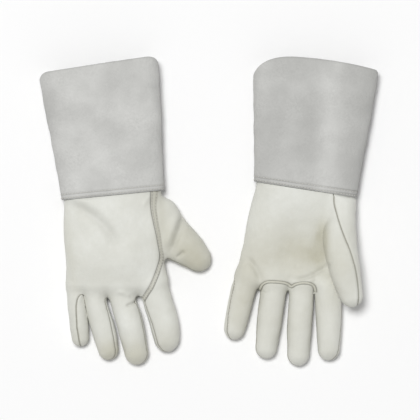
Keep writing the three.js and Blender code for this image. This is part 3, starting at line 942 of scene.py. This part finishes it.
def joined(seam, row):
    """1 where the strap is flush with the leather beside it, above the thumb's crotch, else 0."""
    return smooth(seam["strap_side"][row] / 1.5 + 0.5) * smooth(seam["crotch"][row] / 10)


def profile(glove, node, seam, row):
    """How high a piece stands over the bare skin: its grooves, welts, strap or piping."""
    side = np.abs(seam["side"][row])
    strap = strap_gap(glove, seam, row)
    base = base_gap(glove, seam, row)
    flush = joined(seam, row)
    if node == "finger_base_welt":
        over = PIPING_PROUD * smooth(seam["base_end"][row] / 2)
        return over * np.sqrt(np.clip(1 - (base / PIPING) ** 2, 0, 1)) - PIPING_SUNK
    if node.endswith("_welt"):
        return WELT_PROUD * (1 - (side / WELT) ** 2) - WELT_SUNK
    ridge = RIDGE * hump(side - RIDGE_FROM_SEAM, RIDGE_WIDTH)
    rise = -GROOVE * hump(side, GROOVE_WIDTH) + ridge
    if node == "keystone_strap":
        return rise + STRAP_PROUD * (1 - 0.6 * hump(strap, 0.6)) * (1 - 0.8 * flush)
    rise = rise - 0.3 * hump(strap, 1.3) * (1 - flush)
    return rise - 0.5 * hump(np.clip(base - PIPING, 0, None), 1.1)


def shade(glove, seam, row, depth):
    """Painted shade: how dark each point is painted for lying in a seam, a crease, beside the strap
    or the piping, or under the strap's stitches, from 0 to 1.
    """
    side = 0.85 * hump(seam["side"][row], 0.8)
    strap = strap_gap(glove, seam, row)
    share = np.abs(seam["strap_share"][row])
    half = np.abs(seam["strap_side"][row]) / (share + 1e-6)
    rows = 0.7 * hump((share - STRAP_ROWS[1]) * half, 0.75) * (strap < 0)
    strap = 0.7 * hump(strap, 0.7) * (1 - 0.85 * joined(seam, row))
    base = 0.8 * hump(base_gap(glove, seam, row) - PIPING - 0.1, 0.5)
    return np.clip(np.maximum.reduce([side, strap, rows, base]) + depth[row] * 0.05, 0, 1)


# ---------------------------------------------------------------- making pieces


def mesh_object(name, points, triangles, normals, **values):
    """A Blender object of a closed mesh in metres, with its normals and values at its points."""
    mesh = bpy.data.meshes.new(name)
    mesh.vertices.add(len(points))
    mesh.vertices.foreach_set("co", np.ascontiguousarray(points, np.float32).ravel())
    mesh.loops.add(triangles.size)
    mesh.loops.foreach_set("vertex_index", np.ascontiguousarray(triangles, np.int32).ravel())
    mesh.polygons.add(len(triangles))
    mesh.polygons.foreach_set("loop_start", np.arange(0, triangles.size, 3, dtype=np.int32))
    mesh.update(calc_edges=True)
    mesh.validate()
    mesh.polygons.foreach_set("use_smooth", np.ones(len(mesh.polygons), bool))
    if normals is not None:
        mesh.normals_split_custom_set_from_vertices(normals.tolist())
    for kind, row in values.items():
        layer = mesh.attributes.new(kind, "FLOAT", "POINT")
        layer.data.foreach_set("value", row.astype(np.float32))
    made = bpy.data.objects.new(name, mesh)
    bpy.context.scene.collection.objects.link(made)
    return made


def grid_triangles(index):
    """The triangles of a grid of point numbers whose rows close on themselves."""
    right = np.roll(index, -1, axis=1)
    quads = np.stack([index[:-1], right[:-1], right[1:], index[1:]], -1).reshape(-1, 4)
    return np.vstack([quads[:, [0, 1, 2]], quads[:, [0, 2, 3]]])


def tube_triangles(rings, sides):
    """The triangles of a closed tube of rings of points."""
    index = np.arange(rings * sides).reshape(rings, sides)
    first, last = index[0], index[-1]
    caps = [(first[0], first[k + 1], first[k]) for k in range(1, sides - 1)]
    caps += [(last[0], last[k], last[k + 1]) for k in range(1, sides - 1)]
    return np.vstack([grid_triangles(index), np.array(caps)])


def facing_out(points, triangles):
    """Triangles of closed shapes, all turned over if they enclose a negative volume."""
    a, b, c = points[triangles].swapaxes(0, 1)
    return triangles if (a * np.cross(b, c)).sum() > 0 else triangles[:, ::-1]


def thicken(points, normals, triangles, wall):
    """A closed sheet: its outer surface, its inner one a wall's thickness below, and its edges."""
    used, flat = np.unique(triangles, return_inverse=True)
    triangles = flat.reshape(-1, 3)
    outer, normal = points[used], normals[used]
    count = len(used)
    pairs = np.vstack(sides_of(triangles).swapaxes(0, 1))  # every side, the first sides first
    key = pairs[:, 0].astype(np.int64) * count + pairs[:, 1]
    reverse = pairs[:, 1].astype(np.int64) * count + pairs[:, 0]
    a, b = pairs[~np.isin(key, reverse)].T
    edge = np.vstack([np.stack([b, a, a + count], 1), np.stack([b, a + count, b + count], 1)])
    faces = np.vstack([triangles, triangles[:, ::-1] + count, edge])
    return used, np.vstack([outer, outer - normal * wall]), np.vstack([normal, -normal]), faces


def drop_crumbs(triangles, least=30):
    """Which triangles are in a connected patch of at least that many."""
    corners, flat = np.unique(triangles, return_inverse=True)
    flat = flat.reshape(-1, 3)
    label = np.arange(len(corners))
    while True:
        low = label[flat].min(1)
        fresh = label.copy()
        for k in range(3):
            np.minimum.at(fresh, flat[:, k], low)
        fresh = fresh[fresh]
        if (fresh == label).all():
            break
        label = fresh
    patch = label[flat[:, 0]]
    count = np.bincount(patch, minlength=len(corners))
    return count[patch] >= least


class GloveSkin:
    """A glove's finished skin: its triangles by node, with the points of each leather."""

    def __init__(self, glove):
        self.glove = glove
        points, triangles = find_skin(glove)
        self.skin = skin = Skin(points, triangles, glove.seams(points))
        cut_seams(glove, skin)
        self.node, self.leather = groups(glove, skin)
        tidy_crumbs(skin, self.node, self.leather)
        normal = vertex_normals(skin.points, skin.triangles)
        self.rise, self.depth = glove.relief(skin.points, normal, skin.values)
        self.base = skin.points + normal * self.rise[:, None]
        self.bare_normal = vertex_normals(self.base, skin.triangles)
        self.tint = glove.tint(skin.points)

    def sheet(self, node):
        """One node's raised points, their normals and its triangles."""
        skin = self.skin
        mine = self.node == node
        leather = self.leather[mine][0] if mine.any() else node
        same = self.leather == leather
        raised = self.base.copy()
        for kind in np.unique(self.node[same]):
            row = np.unique(skin.triangles[self.node == kind])
            over = profile(self.glove, kind, skin.values, row)
            raised[row] = self.base[row] + self.bare_normal[row] * over[:, None]
        raised = self.glove.tuck(raised)
        raised[:, 2] = np.maximum(raised[:, 2], FLOOR_GAP)
        normals = vertex_normals(raised, skin.triangles[same])
        return raised, normals, skin.triangles[mine]


def tidy_crumbs(skin, node, leather):
    """Gives stray scraps of a node to the node around them."""
    for _ in range(2):
        for name in np.unique(node):
            mine = np.flatnonzero(node == name)
            small = mine[~drop_crumbs(skin.triangles[mine])]
            if not len(small):
                continue
            owner = {}
            pairs = np.sort(sides_of(skin.triangles), axis=2)
            key = pairs[..., 0].astype(np.int64) * len(skin.points) + pairs[..., 1]
            wanted = np.isin(key, key[small]).any(1)
            for t in np.flatnonzero(wanted & (node != name)):
                for edge in key[t]:
                    owner[edge] = t
            for _ in range(6):
                left = []
                for t in small:
                    found = [owner[edge] for edge in key[t] if edge in owner]
                    if found:
                        node[t], leather[t] = node[found[0]], leather[found[0]]
                        for edge in key[t]:
                            owner.setdefault(edge, found[0])
                    else:
                        left.append(t)
                if not left:
                    break
                small = left


def bend_ends(glove, name):
    """Where a digit's leather starts to bend and where it has bent, in the row frame."""
    digit = glove.digits[name]
    start = digit.point(digit.start)
    half = max(digit.hinge - digit.start, 10)
    end = start + np.array([*digit.at("tangent", digit.hinge), 0]) * 2 * half
    return [glove.world(point).tolist() for point in (start, end)]


def join(glove, piece, digit=None):
    """Makes a piece ride on the hand, or bakes a digit's piece into place."""
    hand = f"{glove.name}_hand"
    if digit:
        start, end = bend_ends(glove, digit)
        body_of(glove, digit)
        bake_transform(piece)
        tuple(start)
        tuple(end)
    else:
        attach(piece, hand)


def dress(piece, material, node=None):
    """Gives a piece its material, and the CAD node whose place it takes."""
    piece.data.materials.append(MATERIAL[material])
    if node:
        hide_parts(node)


def leather_pieces(glove, shell):
    for node in sorted(set(shell.node)):
        raised, normals, triangles = shell.sheet(node)
        used, points, normal, faces = thicken(raised, normals, triangles, GRAIN_WALL)
        # Painted shade in seams and creases on the outer face, and painted shade all over the inner
        # face.
        dark = shade(glove, shell.skin.values, used, shell.depth)
        inside = np.full(len(used), GRAIN_INSIDE_SHADE)
        name = f"{glove.name}_{node}"
        tint = np.tile(shell.tint[used], 2)
        piece = mesh_object(f"{name}_leather", glove.placed(points), faces, normal @ glove.turn.T,
                            shade=np.r_[dark, inside], tint=tint)
        kind = "strap" if node == "keystone_strap" else "welt" if node.endswith("welt") else "grain"
        dress(piece, kind, name)
        digit, part = node.split("_")[:2]
        join(glove, piece, digit if digit in DIGITS and part in ("back", "front", "welt") else None)


# ---------------------------------------------------------------- cuffs


class Cuff:
    """A glove's cuff: a tapering wrap of split leather with slanted ends and rounded corners."""

    def __init__(self, glove):
        self.glove = glove
        for name, value in CUFFS[glove.name].items():
            setattr(self, name, value)
        middle = (self.open_width + CUFF_EDGE_WIDTH) / 2 - CUFF_WAIST
        tall = (self.open_height + CUFF_EDGE_HEIGHT) / 2
        self.rows = spline([
            (-10, CUFF_EDGE_WIDTH, CUFF_EDGE_HEIGHT, CUFF_EDGE_LIFT),
            (CUFF_MIDDLE, middle, tall, 0),
            (max(self.top) + self.crown + 3, self.open_width, self.open_height, 0),
        ]).T

    def span(self, side):
        """The lowest and highest y of the cuff at a share of its half width, from -1 to 1."""
        half = self.open_width / 2
        (left_run, left_drop), (right_run, right_drop) = self.corners
        t = np.linspace(0, 1, 24)[:, None]

        def corner(a, b, c):
            return (1 - t) ** 2 * np.array(a) + 2 * t * (1 - t) * np.array(b) + t**2 * np.array(c)

        left, right = self.top
        outline = np.vstack([
            corner((-half - 1, left - left_drop), (-half, left), (-half + left_run, left)),
            corner((half - right_run, right), (half, right), (half + 1, right - right_drop)),
        ])
        low = np.interp(side, [-1, 1], self.edge)
        high = np.interp(side * half, outline[:, 0], outline[:, 1])
        return low, high + self.crown * (1 - side**2)

    def points(self, turn, share, grow=0.0):
        """Points of the cuff's outer face at turns about it and shares of its length."""
        side = power_of(np.cos(turn), 2 / HAND_POWER)
        rise = power_of(np.sin(turn), 2 / HAND_POWER)
        low, high = self.span(side)
        y = low + (high - low) * share
        width, height, lift = [np.interp(y, self.rows[0], row) for row in self.rows[1:]]
        tall = (height + 2 * grow) / (1 + FLAT)
        z = np.clip(lift, 0, None) - grow + tall * (FLAT + np.maximum(rise, -FLAT))
        return np.stack([side * (width / 2 + grow), y, z], -1)


def cuff_grid(cuff, rows, columns):
    """The cuff's outer face as a grid of points that starts and ends at the side seam."""
    turn = np.linspace(0, 2 * math.pi, columns, endpoint=False)
    even = cuff.points(turn, np.full(columns, 0.5))
    length = arc_length(np.vstack([even, even[:1]]))
    even_steps = np.linspace(0, length[-1], columns, endpoint=False)
    turn = np.interp(even_steps, length, np.r_[turn, 2 * math.pi])
    share = np.linspace(0, 1, rows)
    return cuff.points(*np.meshgrid(turn, share)), turn


def cuff_folds(p):
    """How far soft folds raise the cuff's outer face, more towards its mouth."""
    over = np.clip(p[:, 1] / 40, 0.15, 1)
    return (CUFF_SWELL(p * [1, 0.35, 1]) + CUFF_RIPPLE(p)) * over


def build_cuff(glove):
    cuff = Cuff(glove)
    grid, turn = cuff_grid(cuff, CUFF_ROWS, CUFF_COLUMNS)
    rows, columns = grid.shape[:2]
    flat = grid.reshape(-1, 3)
    triangles = grid_triangles(np.arange(rows * columns).reshape(rows, columns))
    normal = vertex_normals(flat, triangles)
    if (normal[:, 2] * (flat[:, 2] - 20)).sum() < 0:
        triangles = triangles[:, ::-1]
        normal = -normal
    rise = cuff_folds(flat) + CUFF_NAP(flat)
    low, high = cuff.span(np.clip(flat[:, 0] / (cuff.open_width / 2), -1, 1))
    sewn = sum(hump(flat[:, 1] - low - height, SEWN_WIDTH) for height in CUFF_STITCH_ROWS)
    rise -= SEWN_DEPTH * sewn
    seam = np.minimum(turn, 2 * math.pi - turn)
    seam_gap = np.tile(seam, rows) * cuff.open_width / 4
    rise -= CUFF_SEAM_DEPTH * hump(seam_gap, CUFF_SEAM_WIDTH)
    raised = flat + normal * rise[:, None]
    raised[:, 2] = np.maximum(raised[:, 2], FLOOR_GAP)
    normal = vertex_normals(raised, triangles)
    _, points, normals, faces = thicken(raised, normal, triangles, SPLIT_WALL)
    # Painted shade: darker along the cuff's lower edge and its mouth, in its side seam and in the
    # grooves under its stitch rows, with the bands of painted shade and painted light on top; the
    # inner face is painted shade as well.
    edge = np.minimum(flat[:, 1] - low, high - flat[:, 1])
    dark = 0.5 * np.exp(-np.abs(edge) / 0.8) + 0.5 * np.exp(-seam_gap / 1.5) + 0.55 * sewn
    dark += spots(cuff.bands, flat)
    inside = np.full(len(dark), SPLIT_INSIDE_SHADE)
    name = f"{glove.name}_cuff_panel"
    piece = mesh_object(f"{name}_leather", glove.placed(points), faces, normals @ glove.turn.T,
                        shade=np.r_[np.clip(dark, 0, 1), inside])
    dress(piece, "split", name)
    join(glove, piece)
    return cuff


def along_rows(cuff, height):
    """Points round the cuff at a height above its lower edge, and the directions out of it."""
    turn = np.linspace(0.02, 2 * math.pi - 0.02, 900)
    low, high = cuff.span(power_of(np.cos(turn), 2 / HAND_POWER))
    share = height / (high - low)
    line = cuff.points(turn, share)
    return line, unit(cuff.points(turn, share, 1.0) - line)


def stitches(lines, normals, rng):
    """A row of short stitches along each line: points, triangles and normals of their meshes."""
    places, ways, ups = [], [], []
    for line, normal in zip(lines, normals):
        length = arc_length(line)
        centres = np.arange(STITCH / 2 + 0.3, length[-1] - STITCH / 2, STITCH + STITCH_GAP)
        before, after = [sample(centres + aim, length, line) for aim in (-STITCH_AIM, STITCH_AIM)]
        places.append(sample(centres, length, line))
        ups.append(sample(centres, length, normal))
        ways.append(after - before)
    place, way, up = np.vstack(places), unit(np.vstack(ways)), np.vstack(ups)
    up = unit(up - (up * way).sum(1)[:, None] * way)
    slant = np.tan(np.radians(rng.normal(7, 3, len(place))))
    across = np.cross(up, way)
    way = way + across * slant[:, None]
    rings, sides = len(STITCH_RINGS), 6
    angle = np.arange(sides) * 2 * math.pi / sides
    spot = np.array([where for where, _ in STITCH_RINGS])[:, None]
    size = np.array([wide for _, wide in STITCH_RINGS])[:, None] * THREAD
    lengthways = np.broadcast_to(spot * STITCH / 2, (rings, sides))
    sideways = size * np.cos(angle)
    upwards = size * np.sin(angle) + THREAD * (0.75 - 1.1 * spot**2)
    local = np.stack([a.ravel() for a in (lengthways, sideways, upwards)], 1)
    points = (
        place[:, None]
        + local[None, :, 0, None] * way[:, None]
        + local[None, :, 1, None] * across[:, None]
        + local[None, :, 2, None] * up[:, None]
    )
    points = points.reshape(-1, 3)
    firsts = np.arange(len(place))[:, None, None] * rings * sides
    return points, facing_out(points, (tube_triangles(rings, sides) + firsts).reshape(-1, 3))


def stitch_piece(glove, name, lines, normals, node=None, digit=None):
    """One piece of sewing thread along some lines."""
    lines = [line for line in lines if len(line) > 3]
    if not lines:
        return
    rng = np.random.default_rng(len(name) * 97 + len(lines))
    points, triangles = stitches(lines, normals, rng)
    piece = mesh_object(name, glove.world(points), triangles, None)
    dress(piece, "thread", node)
    join(glove, piece, digit)


def trace(points, normals, values, triangles, level):
    """The lines on some triangles along which a value has that level, with their normals."""
    ends, places, ups = [], {}, {}
    value = values - level + 1e-7
    for tri in triangles[np.ptp(np.sign(value[triangles]), axis=1) > 0]:
        found = []
        for side in sides_of(tri[None])[0]:
            low, high = key = (side.min(), side.max())
            if value[low] * value[high] < 0:
                share = value[low] / (value[low] - value[high])
                places[key] = points[low] * (1 - share) + points[high] * share
                ups[key] = normals[low] * (1 - share) + normals[high] * share
                found.append(key)
        if len(found) == 2:
            ends.append(found)
    links = {}
    for a, b in ends:
        links.setdefault(a, []).append(b)
        links.setdefault(b, []).append(a)
    lines = []
    seen = set()
    for first in sorted(links, key=lambda key: (len(links[key]) != 1, key)):
        if first in seen:
            continue
        chain = [first]
        seen.add(first)
        while True:
            following = [key for key in links[chain[-1]] if key not in seen]
            if not following:
                break
            chain.append(following[0])
            seen.add(following[0])
        if len(chain) > 6:
            lines.append(chain)
    return [[np.array([kind[key] for key in chain]) for chain in lines] for kind in (places, ups)]


def build_stitches(glove, shell, cuff):
    """Every row of stitches on a glove: the strap's, the cuff's and the little finger's."""
    values = shell.skin.values
    raised, normals, triangles = shell.sheet("keystone_strap")
    lines, ups = [], []
    for share in STRAP_ROWS:
        found = trace(raised, normals, values["strap_share"], triangles, share)
        lines += found[0]
        ups += found[1]
    stitch_piece(glove, f"{glove.name}_strap_stitches", lines, ups)
    if not glove.up_is_back:
        edge_stitches(glove, shell, "palm_panel", None)
        edge_stitches(glove, shell, "little_front", "little")
    for name, height in zip(("lower", "upper"), CUFF_STITCH_ROWS):
        line, out = along_rows(cuff, height)
        node = f"{glove.name}_cuff_{name}_stitching"
        stitch_piece(glove, f"{node}_thread", [line], [out], node)


def edge_stitches(glove, shell, node, digit):
    """The stitches that show along the hand's outer edge and its little finger."""
    raised, normals, triangles = shell.sheet(node)
    values = shell.skin.values
    middle = raised[triangles].mean(1)
    beyond, start, end = OUTER_EDGE
    outer = (middle[:, 0] < beyond) & (middle[:, 1] < start) & (middle[:, 1] > end)
    found = trace(raised, normals, values["side"], triangles[outer], EDGE_ROW)
    stitch_piece(glove, f"{glove.name}_{node}_stitches", *found, digit=digit)


def tube(line, out, radius):
    """A closed round cord along a line, flattened against what is under it."""
    across = np.cross(out, unit(np.gradient(line, axis=0)))
    sides = 10
    angle = (np.arange(sides) * 2 * math.pi / sides)[None, :, None]
    shape = np.sin(np.linspace(0, math.pi, len(line)))[:, None, None] ** 0.12 * radius
    ring = across[:, None] * np.cos(angle) + out[:, None] * np.sin(angle)
    points = (line[:, None] + ring * shape).reshape(-1, 3)
    return points, facing_out(points, tube_triangles(len(line), sides))


def build_cuff_welt(glove, cuff):
    share = np.linspace(0.004, 0.996, 160)
    line = cuff.points(np.zeros(len(share)), share)
    out = np.tile([1.0, 0, 0], (len(share), 1))
    line = line + out * (cuff_folds(line) - CUFF_WELT * CUFF_WELT_SUNK)[:, None]
    node = f"{glove.name}_cuff_side_welt"
    points, triangles = tube(line, out, CUFF_WELT)
    points = glove.world(points)
    # Painted shade: the whole strip is painted a little darker through its shade value.
    piece = mesh_object(f"{node}_strip", points, triangles, None, shade=np.full(len(points), 0.25))
    dress(piece, "split", node)
    join(glove, piece)


# ---------------------------------------------------------------- materials


class Nodes:
    """A material's node tree, with short calls that add nodes and return their outputs."""

    def __init__(self, name):
        self.material = bpy.data.materials.new(name)
        self.material.use_nodes = True
        self.tree = self.material.node_tree
        self.shader = self.tree.nodes["Principled BSDF"]
        self.place = self.add("ShaderNodeTexCoord", "Object", {})

    def add(self, kind, output, inputs, **settings):
        node = self.tree.nodes.new(kind)
        for name, value in settings.items():
            setattr(node, name, value)
        self.feed(node, inputs)
        return node.outputs[output]

    def feed(self, node, inputs):
        """Gives a node's inputs numbers, colours or the outputs of other nodes."""
        for name, value in inputs.items():
            if isinstance(value, bpy.types.NodeSocket):
                self.tree.links.new(value, node.inputs[name])
            else:
                node.inputs[name].default_value = value

    def noise(self, millimetres, detail=3, rough=0.55, stretch=(1, 1, 1)):
        place = self.add("ShaderNodeMapping", "Vector", {"Vector": self.place, "Scale": stretch})
        sizes = {"Scale": 1000 / millimetres, "Detail": detail, "Roughness": rough}
        return self.add("ShaderNodeTexNoise", "Fac", {"Vector": place, **sizes})

    def cells(self, millimetres):
        inputs = {"Vector": self.place, "Scale": 1000 / millimetres}
        return self.add("ShaderNodeTexVoronoi", "Distance", inputs, feature="SMOOTH_F1")

    def range(self, value, low, high, start=0.0, end=1.0):
        """value from start to end becomes low to high."""
        limits = {"From Min": start, "From Max": end, "To Min": low, "To Max": high}
        return self.add("ShaderNodeMapRange", "Result", {"Value": value, **limits})

    def math(self, operation, a, b):
        return self.add("ShaderNodeMath", 0, {0: a, 1: b}, operation=operation)

    def mix(self, share, a, b):
        return self.add("ShaderNodeMix", 2, {0: share, 6: a, 7: b}, data_type="RGBA")

    def attribute(self, name):
        return self.add("ShaderNodeAttribute", "Fac", {}, attribute_name=name)

    def bump(self, height, depth, under=None):
        """Relief of depth millimetres, over another relief."""
        inputs = {"Distance": depth * MM, "Height": height}
        if under is not None:
            inputs["Normal"] = under
        return self.add("ShaderNodeBump", "Normal", inputs)

    def finish(self, colour, roughness, normal, **sockets):
        numbers = {name.replace("_", " "): value for name, value in sockets.items()}
        looks = {"Base Color": colour, "Roughness": roughness, "Normal": normal}
        self.feed(self.shader, {**looks, **numbers})
        return self.material


def rgb(red, green, blue):
    """A colour's linear values from how it looks, each from 0 to 255."""
    levels = [level / 255 for level in (red, green, blue)]
    return (*[c / 12.92 if c < 0.04 else ((c + 0.055) / 1.055) ** 2.4 for c in levels], 1)


def grain_leather(name, light, dark, seam, olive):
    """Smooth leather: clouded colour, fine grain, olive tone with painted shade from its olive
    spots, and painted shade in its seams and creases.
    """
    n = Nodes(name)
    cloud = n.range(n.noise(45, 4), 0, 1, 0.32, 0.68)
    fine = n.range(n.noise(6, 4), 0, 1, 0.3, 0.7)
    colour = n.mix(n.range(cloud, 0.15, 0.85), dark, light)
    colour = n.mix(n.range(fine, 0, 0.25), colour, dark)
    tone = n.range(n.noise(14, 3), 0.55, 1)
    # The olive spots mix in olive: partly the leather's own tone, partly painted shade.
    colour = n.mix(n.math("MULTIPLY", n.attribute("tint"), tone), colour, olive)
    # Painted shade in seams and creases, made patchy by noise.
    shade_patches = n.range(n.noise(9, 3), 0.55, 1)
    colour = n.mix(n.math("MULTIPLY", n.attribute("shade"), shade_patches), colour, seam)
    grain = n.cells(0.9)
    pores = n.noise(0.45, 2)
    wrinkle = n.noise(5, 5, 0.6, (1, 0.5, 1))
    normal = n.bump(wrinkle, 0.5)
    normal = n.bump(grain, 0.16, normal)
    normal = n.bump(pores, 0.06, normal)
    rough = n.range(n.math("ADD", fine, grain), 0.5, 0.68, 0, 1.6)
    gloss = {"Specular_IOR_Level": 0.38, "Sheen_Weight": 0.08, "Sheen_Roughness": 0.5}
    return n.finish(colour, rough, normal, **gloss)


def split_leather(name, light, dark, edge):
    """Napped split leather: mottled grey with short fibres brushed in patches, and painted shade and
    painted light from its shade value.
    """
    n = Nodes(name)
    patch = n.range(n.noise(42, 3, 0.5), 0.2, 0.8, 0.36, 0.64)
    fleck = n.range(n.noise(3, 5, 0.72), 0, 1, 0.36, 0.64)
    speck = n.range(n.noise(0.9, 3, 0.7, (1, 0.5, 1)), 0, 1, 0.3, 0.7)
    where = n.range(n.noise(34, 2), 0.12, 0.6, 0.4, 0.62)
    colour = n.mix(patch, dark, light)
    colour = n.mix(n.math("MULTIPLY", fleck, where), colour, dark)
    colour = n.mix(n.range(speck, 0, 0.28), colour, light)
    # Painted shade along the cuff's edges, side seam and stitch rows, with the painted bands, mixed
    # towards the edge colour.
    colour = n.mix(n.math("MULTIPLY", n.attribute("shade"), 0.75), colour, edge)
    normal = n.bump(n.noise(3.2, 5, 0.7), 0.7)
    normal = n.bump(n.noise(0.7, 4, 0.8, (1, 0.4, 1)), 0.35, normal)
    rough = n.range(fleck, 0.86, 0.98)
    gloss = {"Specular_IOR_Level": 0.15, "Sheen_Weight": 0.12, "Sheen_Roughness": 0.5}
    return n.finish(colour, rough, normal, **gloss)


def thread_material(name, light, dark):
    """Twisted sewing thread."""
    n = Nodes(name)
    twist = n.noise(0.5, 2, 0.5, (1, 2.5, 1))
    colour = n.mix(n.range(twist, 0, 1, 0.3, 0.7), dark, light)
    normal = n.bump(twist, 0.12)
    return n.finish(colour, n.range(twist, 0.6, 0.8), normal, Specular_IOR_Level=0.35)


def floor_material(name, colour):
    n = Nodes(name)
    grain = n.noise(30, 2)
    shade = n.mix(n.range(grain, 0, 0.04), colour, (0.93, 0.93, 0.93, 1))
    return n.finish(shade, n.range(grain, 0.85, 0.95), n.bump(grain, 0.05), Specular_IOR_Level=0.2)


# OLIVE is partly the leather's own olive tone and partly painted shade.
OLIVE = rgb(188, 185, 166)
# The seam colour below is painted shade in seams and creases.
SEAM_SHADE = rgb(92, 90, 80)
# Each leather's third colour is the colour of its painted shade.
MATERIAL = {
    "grain": grain_leather(
        "grain_leather", rgb(229, 230, 224), rgb(213, 213, 204), SEAM_SHADE, OLIVE),
    "welt": grain_leather(
        "welt_leather", rgb(224, 224, 214), rgb(204, 203, 191), rgb(104, 100, 88), OLIVE),
    "strap": grain_leather(
        "strap_leather", rgb(221, 221, 211), rgb(203, 202, 190), SEAM_SHADE, OLIVE),
    "split": split_leather(
        "split_leather", rgb(219, 219, 216), rgb(188, 188, 185), rgb(130, 130, 127)),
    "thread": thread_material("sewing_thread", rgb(234, 233, 227), rgb(186, 184, 175)),
}


# ---------------------------------------------------------------- the pair, the floor and the light


for glove_name, glove_spec in GLOVES.items():
    the_glove = Glove(glove_name, glove_spec)
    the_shell = GloveSkin(the_glove)
    leather_pieces(the_glove, the_shell)
    the_cuff = build_cuff(the_glove)
    build_cuff_welt(the_glove, the_cuff)
    build_stitches(the_glove, the_shell, the_cuff)

FLOOR_REACH = 6.0  # metres from the middle to the floor's sides
SKY = 0.34  # brightness of the plain white light from all round

ground = bpy.data.meshes.new("floor")
corners = [(x * FLOOR_REACH, y * FLOOR_REACH, 0) for x, y in ((-1, -1), (1, -1), (1, 1), (-1, 1))]
ground.from_pydata(corners, [], [(0, 1, 2, 3)])
floor = bpy.data.objects.new("floor", ground)
floor.data.materials.append(floor_material("pale_floor", (0.97, 0.97, 0.97, 1)))
bpy.context.scene.collection.objects.link(floor)


def area_light(name, place, target, size, watts):
    data = bpy.data.lights.new(name, "AREA")
    data.shape = "RECTANGLE"
    data.size, data.size_y = size
    data.energy = watts
    light = bpy.data.objects.new(name, data)
    light.location = place
    light.rotation_euler = (Vector(target) - Vector(place)).to_track_quat("-Z", "Y").to_euler()
    bpy.context.scene.collection.objects.link(light)


area_light("overhead", place=(-1.2, 1.9, 8.7), target=(0, 0, 0), size=(2.6, 2.6), watts=562)

world = bpy.data.worlds.new("studio")
world.use_nodes = True
world.node_tree.nodes["Background"].inputs["Color"].default_value = (1, 1, 1, 1)
world.node_tree.nodes["Background"].inputs["Strength"].default_value = SKY
bpy.context.scene.world = world
bpy.context.scene.view_settings.view_transform = "Standard"

# The camera looks straight down on the pair from far away, with the fingers to the bottom.
CAMERA_HEIGHT = 6.0
FRAMED = 0.4956  # metres across the square image
SENSOR = 36
camera_data = bpy.data.cameras.new("camera")
camera_data.sensor_width = SENSOR
camera_data.lens = SENSOR * CAMERA_HEIGHT / FRAMED
camera = bpy.data.objects.new("camera", camera_data)
camera.location = (0, 0, CAMERA_HEIGHT)
bpy.context.scene.collection.objects.link(camera)
bpy.context.scene.camera = camera
